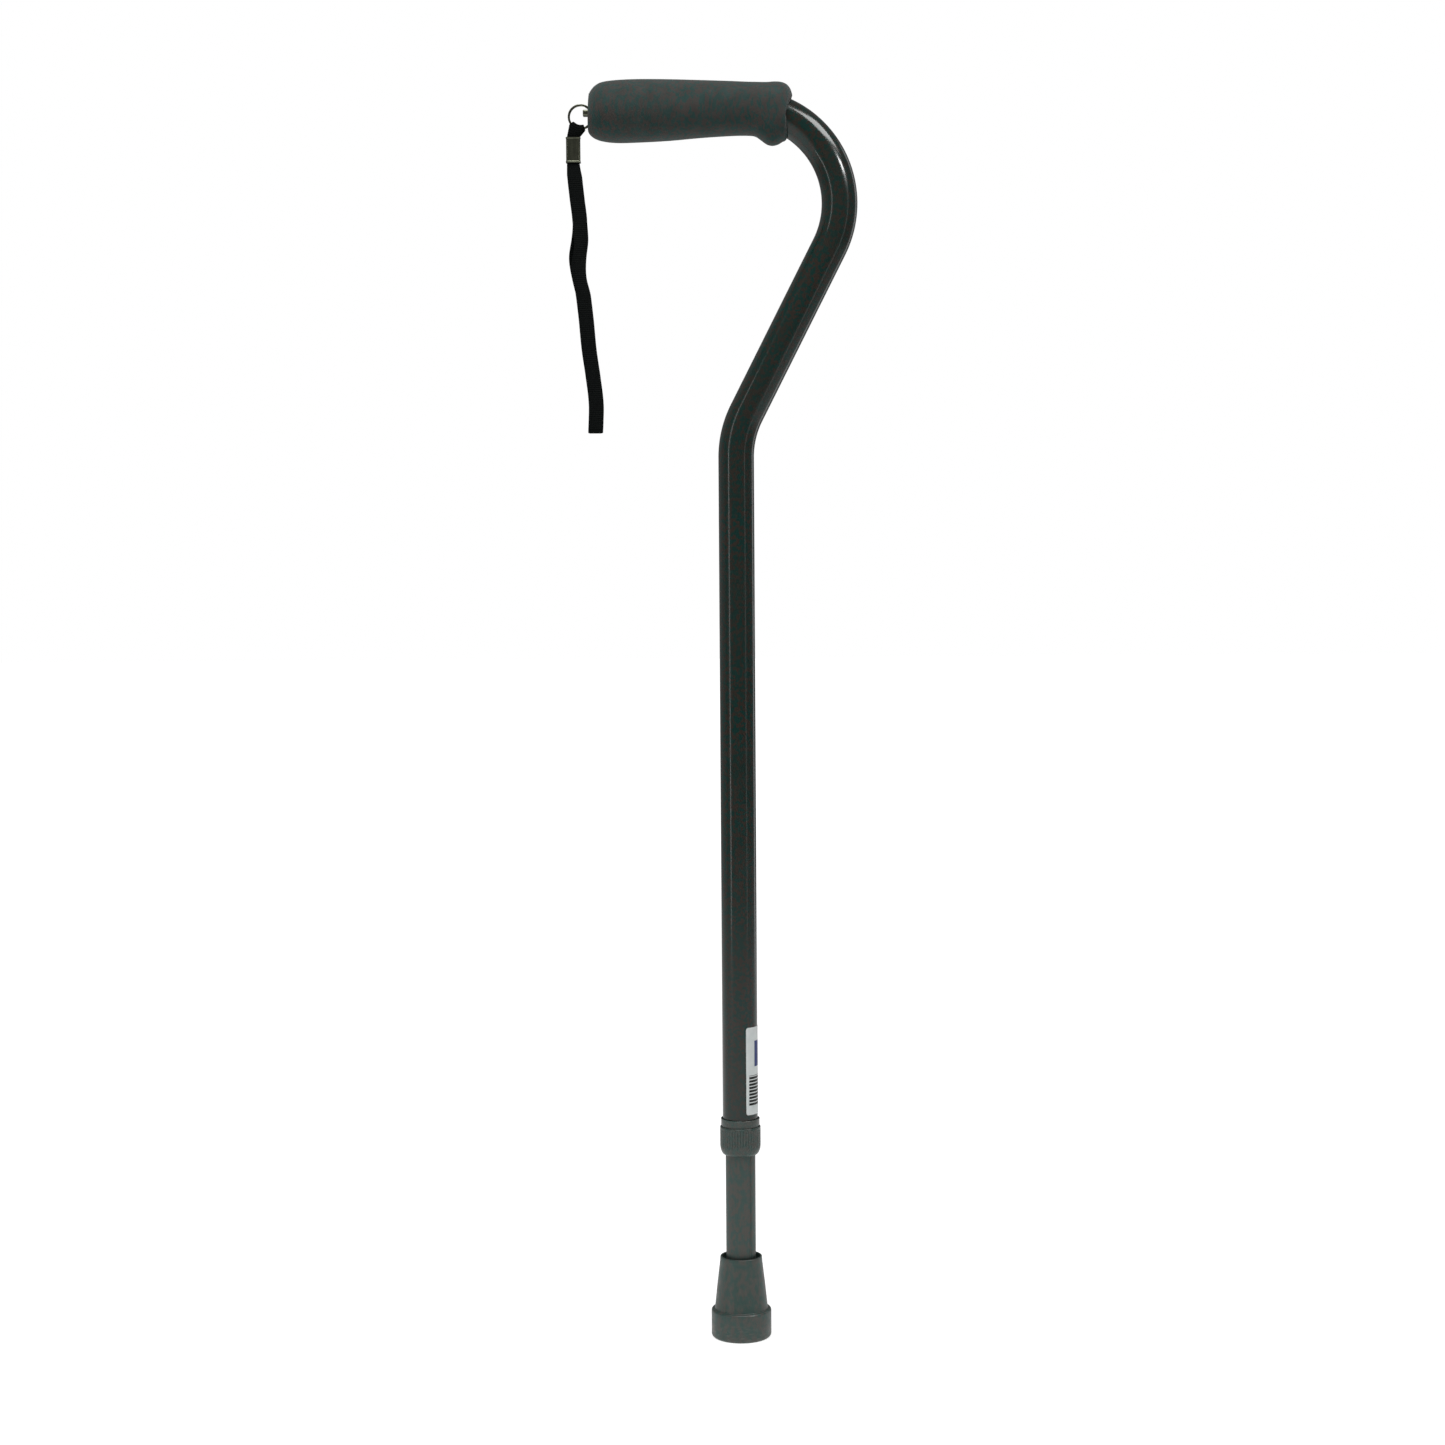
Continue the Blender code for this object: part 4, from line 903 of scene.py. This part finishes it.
def strip(path, width, thickness):
    """A flat strip along a path of (y, z) points, its width along X."""
    points = [Vector((0.0, y, z)) for y, z in path]
    side = Vector((width / 2.0, 0.0, 0.0))
    rings = []
    for i, point in enumerate(points):
        along = (points[min(i + 1, len(points) - 1)] - points[max(i - 1, 0)]).normalized()
        normal = Vector((0.0, -along.z, along.y)) * (thickness / 2.0)
        left = point - side
        right = point + side
        rings.append([left - normal, right - normal, right + normal, left + normal])
    return solid_of_rings(rings)


def make_spring(finish):
    """V-shaped leaf: its back leg and bow lie in the lower tube, its front leg behind the button."""
    bow = arc(SPRING_BOW, SPRING_BOW_RADIUS, 8.0, -188.0, 24)
    path = straight_steps([*from_mm(SPRING_FRONT_LEG, BUTTON_Z), bow[0]], 8)[:-1]
    path += bow + from_mm(SPRING_BACK_LEG, BUTTON_Z)
    bm = strip(path, SPRING_WIDTH, SPRING_THICKNESS)
    spring = add_piece("leaf_spring", bm, finish, None, ["button_spring"], sharp=50.0)
    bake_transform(spring)


# ---------------- tip and collar

def tread_profile(inner, outer):
    """A groove of the tread with rounded edges at the ground."""
    low = TREAD_ROUNDING
    profile = arc((inner - low, low), low, -90.0, 0.0, 2)
    profile += [(inner, TREAD_DEPTH), (outer, TREAD_DEPTH)]
    return profile + arc((outer + low, low), low, 180.0, 270.0, 2)


def make_tip(finish):
    """Rubber tip: tread rings underneath, a wide base, a ledge, a cone and a soft rim round the tube."""
    base = TIP_BASE_RADIUS
    ledge = TIP_LEDGE_Z
    low = TIP_BASE_ROUNDING
    high = TIP_LEDGE_ROUNDING
    foot = TIP_CONE_FOOT_RADIUS
    profile = [(TIP_CENTRE_RADIUS, 0.0)]
    for inner, outer in TREAD_GROOVES:
        profile += tread_profile(inner, outer)
    profile += arc((base - low, low), low, -90.0, 0.0, 8)
    profile += arc((base - high, ledge - high), high, 0.0, 88.0, 8)
    profile += [(foot + 0.1 * MM, ledge + 0.05 * MM)]
    profile += arc((foot, ledge + 0.55 * MM), TIP_CONE_FOOT_ROUNDING, 265.0, 186.0, 4)
    profile += from_mm(TIP_CONE)
    profile += arc((TIP_RIM_RADIUS, TIP_TOP_Z - TIP_RIM_ROUNDING), TIP_RIM_ROUNDING, 6.0, 180.0, 9)
    profile += from_mm(TIP_MOUTH)
    bm = turned(profile, 128, hollow=False)
    add_piece("rubber_tip", bm, finish, "lower_shaft", ["ferrule"], sharp=40.0)


def make_sleeve(finish):
    """Plastic sleeve with a thin rim that stands off the tube, a groove above the nut and a thread below."""
    rim = from_mm([SLEEVE_RIM_CENTRE], COLLAR_Z)[0]
    profile = arc(rim, SLEEVE_RIM_ROUNDING, 90.0, 30.0, 6) + from_mm(SLEEVE_SHOULDER, COLLAR_Z)
    for i in range(SLEEVE_THREADS):
        profile += from_mm(THREAD_TOOTH, COLLAR_Z + THREAD_TOP - THREAD_PITCH * i)
    profile += from_mm(SLEEVE_FOOT + SLEEVE_MOUTH, COLLAR_Z)
    bm = turned(profile, 96)
    add_piece("collar_ring", bm, finish, "upper_shaft", ["collar_sleeve"], sharp=30.0)


def nut_ring(radius, z, depth):
    """A ring of the nut's outside: rounded ribs with narrow grooves of a depth between them."""
    ring = []
    corners = NUT_RIBS * len(RIB_SHAPE)
    for i in range(corners):
        angle = tau * i / corners
        r = radius - depth * RIB_SHAPE[i % len(RIB_SHAPE)]
        ring.append(Vector((r * cos(angle), r * sin(angle), z)))
    return ring


def make_nut(finish):
    """Ribbed nut: a plain band on top, fine ribs, and a rounded lower end where the grooves run out."""
    rings = [nut_ring(r, z, 0.0) for r, z in from_mm(NUT_BAND, COLLAR_Z)]
    rings += [nut_ring(r, z, NUT_GROOVE) for r, z in from_mm(NUT_RIBBED, COLLAR_Z)]
    for i in range(1, 13):
        a = radians(7.0 * i)
        r = NUT_RADIUS - NUT_END_INSET * (1.0 - cos(a))
        z = COLLAR_Z + NUT_END_HEIGHT * (1.0 - sin(a))
        rings.append(nut_ring(r, z, NUT_GROOVE * max(0.0, 1.0 - i / 5.0)))
    rings.append(nut_ring(NUT_UNDERSIDE_RADIUS, COLLAR_Z, 0.0))
    rings += [nut_ring(r, z, 0.0) for r, z in from_mm(NUT_BORE + NUT_HOLLOW, COLLAR_Z)]
    bm = hollow_of_rings(rings)
    add_piece("locking_nut", bm, finish, "lock_nut", ["lock_nut"], sharp=40.0)


# ---------------- grip

def grip_ring(upper_x, upper_z, lower_x, lower_z, half_width):
    """A section of the foam: half an ellipse to the upper edge and half an ellipse to the lower edge."""
    centre = handle_station(min((upper_x + lower_x) / 2.0 * MM, GRIP_END_SIDE_X))[0]
    top = Vector((upper_x, 0.0, upper_z)) * MM - centre
    bottom = Vector((lower_x, 0.0, lower_z)) * MM - centre
    ring = []
    for i in range(GRIP_SIDES):
        a = tau * i / GRIP_SIDES
        height = sin(a)
        rise = top * height if height > 0.0 else bottom * -height
        ring.append(centre + rise + Vector((0.0, half_width * MM * cos(a), 0.0)))
    return ring


def grip_end_ring():
    """The circle where the foam's end face meets the bend, leaning back at the bottom."""
    side = bend_angle(GRIP_END_SIDE_X)
    ring = []
    for i in range(GRIP_SIDES):
        a = tau * i / GRIP_SIDES
        height = sin(a)
        lean = (GRIP_LEAN_ABOVE if height > 0.0 else GRIP_LEAN_BELOW) * height
        point = bend_station(side + lean, GRIP_BORE * height)[0]
        ring.append(point + Vector((0.0, GRIP_BORE * cos(a), 0.0)))
    return ring


def make_grip(finish):
    """Foam sleeve, its outside from the free end to the bend and its bore back again."""
    rings = [grip_ring(*station) for station in smooth_steps(GRIP_STATIONS, 4)]
    rings.append(grip_end_ring())
    rings += [section(handle_station(x * MM), GRIP_BORE, GRIP_SIDES) for x in GRIP_BORE_STATIONS]
    rings.append(section(handle_station(GRIP_MOUTH_X), GRIP_MOUTH, GRIP_SIDES))
    bm = hollow_of_rings(rings)
    grip = add_piece("hand_grip_foam", bm, finish, "upper_shaft", ["foam_grip"], sharp=60.0)


# ---------------- strap and its fittings

def route_x(z):
    """The hanging strap's x at a height, on a smooth curve through the route's points."""
    heights = [point[1] * MM for point in STRAP_ROUTE]
    i = 0
    while i < len(heights) - 2 and z < heights[i + 1]:
        i += 1
    t = (z - heights[i]) / (heights[i + 1] - heights[i])
    return spline(*(point[0] * MM for point in neighbours(STRAP_ROUTE, i)), t)


def strap_half_width(z):
    """The crimp squeezes the webbing a little narrower."""
    squeezed = CRIMP_WIDTH / 2.0 - CRIMP_WALL - CRIMP_PLAY
    share = clamped((CRIMP_BOTTOM_Z - z) / STRAP_WIDENING)
    return squeezed + (STRAP_WIDTH / 2.0 - squeezed) * share


def layer_offset(z):
    """Half the space between the loop's two layers at a height."""
    length = CRIMP_BOTTOM_Z - STRAP_BOTTOM_Z
    down = clamped((CRIMP_BOTTOM_Z - z) / length)
    opening = eased(clamped(down * length / LOOP_PARTING))
    bulge = LOOP_BULGE * sin(pi * down)
    return LAYER_OFFSET + (LOOP_OFFSET - LAYER_OFFSET + bulge) * opening


def hanging_row(z, offset):
    """Points across the webbing at a height below the crimp, at an offset behind the loop's middle."""
    lean = (z - STRAP_TWIST_Z) / STRAP_TWIST_REACH
    twist = STRAP_TWIST * exp(-lean * lean)
    half = strap_half_width(z)
    row = []
    for side in STRAP_SIDES:
        x = side * half * cos(twist) - offset * sin(twist)
        y = side * half * sin(twist) + offset * cos(twist)
        row.append(Vector((route_x(z) + x, y, z)))
    return row


def fold_row(radial, y):
    """Points across the webbing where it wraps the ring, at a distance from the ring's centre."""
    row = []
    for side in STRAP_SIDES:
        a = FOLD_ANGLE + FOLD_SPREAD * side
        row.append(RING_CENTRE + Vector((radial * sin(a), y, -radial * cos(a))))
    return row


def mixed_row(first, second, share):
    return [a.lerp(b, share) for a, b in zip(first, second)]


def fold_rows():
    """Rows from the front layer at the crimp's top, over the ring, to the back layer at the crimp's top."""
    outer = RING_RADIUS + FOLD_START
    front_top = hanging_row(CRIMP_TOP_Z, -LAYER_OFFSET)
    back_top = hanging_row(CRIMP_TOP_Z, LAYER_OFFSET)
    rows = [front_top]
    rows += [mixed_row(front_top, fold_row(outer, -FOLD_SIDE_Y), i / 4.0) for i in range(1, 5)]
    for i in range(FOLD_STEPS + 1):
        a = pi * i / FOLD_STEPS
        rows.append(fold_row(RING_RADIUS - FOLD_RISE * sin(a), -FOLD_SIDE_Y * cos(a)))
    rows += [mixed_row(fold_row(outer, FOLD_SIDE_Y), back_top, i / 4.0) for i in range(5)]
    return rows


def loop_rows():
    """Rows of the loop below the crimp: down the back layer, round the bottom and up the front layer."""
    turn_z = STRAP_BOTTOM_Z + STRAP_THICKNESS / 2.0 + LOOP_OFFSET
    drop = turn_z - CRIMP_BOTTOM_Z
    heights = [CRIMP_BOTTOM_Z + drop * i / STRAP_STEPS for i in range(1, STRAP_STEPS + 1)]
    rows = [hanging_row(z, layer_offset(z)) for z in heights]
    for i in range(1, LOOP_TURN_STEPS):
        a = pi * i / LOOP_TURN_STEPS
        rows.append(hanging_row(turn_z - LOOP_OFFSET * sin(a), LOOP_OFFSET * cos(a)))
    rows += [hanging_row(z, -layer_offset(z)) for z in reversed(heights)]
    return rows


def strap_rows():
    """Rows across the webbing: from the crimp over the ring, then round the loop and back into the crimp."""
    rows = [hanging_row(STRAP_JOINT_Z, -LAYER_OFFSET), *fold_rows()]
    rows += [hanging_row(z, LAYER_OFFSET) for z in (STRAP_JOINT_Z, CRIMP_BOTTOM_Z)]
    rows += loop_rows()
    rows += [hanging_row(z, -LAYER_OFFSET) for z in (CRIMP_BOTTOM_Z, STRAP_JOINT_Z - STRAP_JOINT_GAP)]
    return rows


def webbing(rows, thickness):
    """A closed band about rows of points across its middle, thinner at its two edges. Its UV map is in
    metres: across the strap and along it."""
    last = len(rows) - 1
    middle = len(STRAP_SIDES) // 2
    along = 0.0
    rings = []
    travelled = []
    for i, row in enumerate(rows):
        ahead = rows[min(i + 1, last)]
        behind = rows[max(i - 1, 0)]
        across = row[-1] - row[0]
        along += (row[middle] - behind[middle]).length
        travelled.append(along)
        fronts = []
        backs = []
        for j, point in enumerate(row):
            half = thickness / 2.0 * (STRAP_EDGE if j in (0, len(row) - 1) else 1.0)
            normal = (ahead[j] - behind[j]).cross(across).normalized() * half
            fronts.append(point + normal)
            backs.append(point - normal)
        rings.append(fronts + backs[::-1])
    bm = bmesh.new()
    made = join_and_cap(bm, rings)
    across_at = [side * STRAP_WIDTH / 2.0 for side in (*STRAP_SIDES, *reversed(STRAP_SIDES))]
    places = {}
    for ring, distance in zip(made, travelled):
        places.update({vertex: (side, distance) for vertex, side in zip(ring, across_at)})
    add_map(bm, "weave", places)
    return bm


def make_strap(finish, crimp):
    rows = strap_rows()
    bm = webbing(rows, STRAP_THICKNESS)
    strap = add_piece("wrist_loop", bm, finish, "wrist_strap", ["wrist_strap"], sharp=70.0)


def crimp_outline(inset, z):
    """The crimp's outline at a height, drawn in by an inset."""
    width = CRIMP_WIDTH - 2.0 * inset
    depth = CRIMP_DEPTH - 2.0 * inset
    outline = rounded_rectangle(width, depth, CRIMP_CORNER - inset, 8)
    return [Vector((CRIMP_X + x, y, z)) for x, y in outline]


def make_crimp(finish):
    """Metal sleeve pressed flat round the webbing, with rolled rims at both ends."""
    outside = from_mm(CRIMP_TOP_RIM, CRIMP_TOP_Z) + from_mm(CRIMP_BOTTOM_RIM, CRIMP_BOTTOM_Z)
    rings = [crimp_outline(inset, z) for inset, z in outside]
    rings += [crimp_outline(CRIMP_WALL, z) for z in (CRIMP_BOTTOM_Z, CRIMP_TOP_Z)]
    bm = hollow_of_rings(rings)
    return add_piece("strap_clamp", bm, finish, "wrist_strap", ["strap_crimp"], sharp=30.0)


def make_ring(finish):
    """Split ring: two turns of flattened wire with rounded edges, the second beside the first."""
    outline = rounded_rectangle(RING_WIRE_RADIAL, RING_WIRE_AXIAL, RING_WIRE_ROUNDING, 3)
    total = 2.0 * tau - RING_STEP_ANGLE - RING_END_GAP
    rings = []
    for i in range(RING_STEPS + 1):
        travelled = total * i / RING_STEPS
        crossing = clamped((travelled - tau + RING_STEP_ANGLE) / RING_STEP_ANGLE)
        y = RING_COIL_PITCH * (eased(crossing) - 0.5)
        angle = RING_START_ANGLE + travelled
        outward = Vector((cos(angle), 0.0, sin(angle)))
        middle = RING_CENTRE + outward * RING_RADIUS
        rings.append([middle + outward * across + Vector((0.0, y + deep, 0.0)) for across, deep in outline])
    add_piece("key_ring", solid_of_rings(rings), finish, "split_ring", ["split_ring"], sharp=50.0)


def flared_hole_tool():
    """The eye's vertical hole, with rounded edges at both faces."""
    flat = STUD_HEIGHT / 2.0 - STUD_ROUNDING
    upper = arc((STUD_HOLE_RADIUS + STUD_ROUNDING, flat), STUD_ROUNDING, 180.0, 100.0, 5)
    upper.append((upper[-1][0] + 0.05 * MM, STUD_HEIGHT / 2.0 + 1.0 * MM))
    profile = [(radius, -z) for radius, z in reversed(upper)] + upper
    return aim(turned(profile, 48, hollow=False), (STUD_HOLE_X, 0.0, STUD_Z), (0.0, 0.0, 1.0))


def make_stud(finish):
    """Flat eye with a vertical hole, on a shank through the plug."""
    outline = rounded_rectangle(STUD_WIDTH, STUD_HEIGHT, STUD_CORNER, 6)
    rings = [[Vector((x, y, STUD_Z + z)) for y, z in outline] for x in (STUD_TIP_X, STUD_BASE_X)]
    eye = add_piece("strap_eye", solid_of_rings(rings), finish, "upper_shaft", ["strap_stud"])
    round_edges(eye, STUD_ROUNDING)
    cut(eye, flared_hole_tool())
    split_large_faces(eye)
    start = handle_station(STUD_BASE_X - SHANK_OVERLAP)[0]
    direction = handle_station(HANDLE_END_X)[0] - start
    shank = turned([(SHANK_RADIUS, 0.0), (SHANK_RADIUS, SHANK_LENGTH)], 32, hollow=False)
    aim(shank, start, direction)
    add_piece("strap_eye_shank", shank, finish, "upper_shaft")


# ---------------- sticker

def make_sticker(finish):
    """A thin sticker with round corners, bent round the tube. Its UV map is in metres from its lower left."""
    inner, outer = LABEL_RADII
    low, high = LABEL_Z
    first, last = LABEL_ANGLES
    rings = []
    spots = []
    for i in range(LABEL_STEPS + 1):
        angle = first + (last - first) * i / LABEL_STEPS
        edge = min(angle - first, last - angle) * inner
        drop = 0.0
        if edge < LABEL_CORNER:
            drop = LABEL_CORNER - sqrt(max(0.0, LABEL_CORNER**2 - (LABEL_CORNER - edge) ** 2))
        corners = ((inner, low + drop), (outer, low + drop), (outer, high - drop), (inner, high - drop))
        rings.append([Vector((r * cos(angle), r * sin(angle), z)) for r, z in corners])
        spots += [((angle - first) * inner, z - low) for r, z in corners]
    bm = bmesh.new()
    made = join_and_cap(bm, rings)
    add_map(bm, "print", dict(zip((vertex for ring in made for vertex in ring), spots)))
    add_piece("plain_sticker", bm, finish, "upper_shaft", ["shaft_label"], sharp=40.0)


# ---------------- build

def repaint(node, finish):
    """Give a CAD node that stays visible a detailed material."""
    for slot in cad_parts[node].material_slots:
        slot.material = finish


def main():
    add_camera()
    plate = dark_plate()
    steel = spring_steel()
    dark = dark_plastic()
    collar = collar_plastic()
    make_strap(nylon_webbing(), make_crimp(plate))
    make_ring(plate)
    make_stud(plate)
    make_upper_tube(black_paint())
    make_grip(foam_rubber())
    make_lower_tube(satin_metal())
    make_tip(tip_rubber())
    make_sleeve(collar)
    make_nut(collar)
    make_button(steel)
    make_spring(steel)
    make_sticker(sticker_paper())
    for node in ("end_plug", "glide_cap", "collet"):
        repaint(node, dark)
    for node in ("stud_washer", "stud_push_nut", "ferrule_washer"):
        repaint(node, steel)
    add_studio()
    add_floor()
    bpy.context.scene.view_settings.view_transform = "Standard"


main()
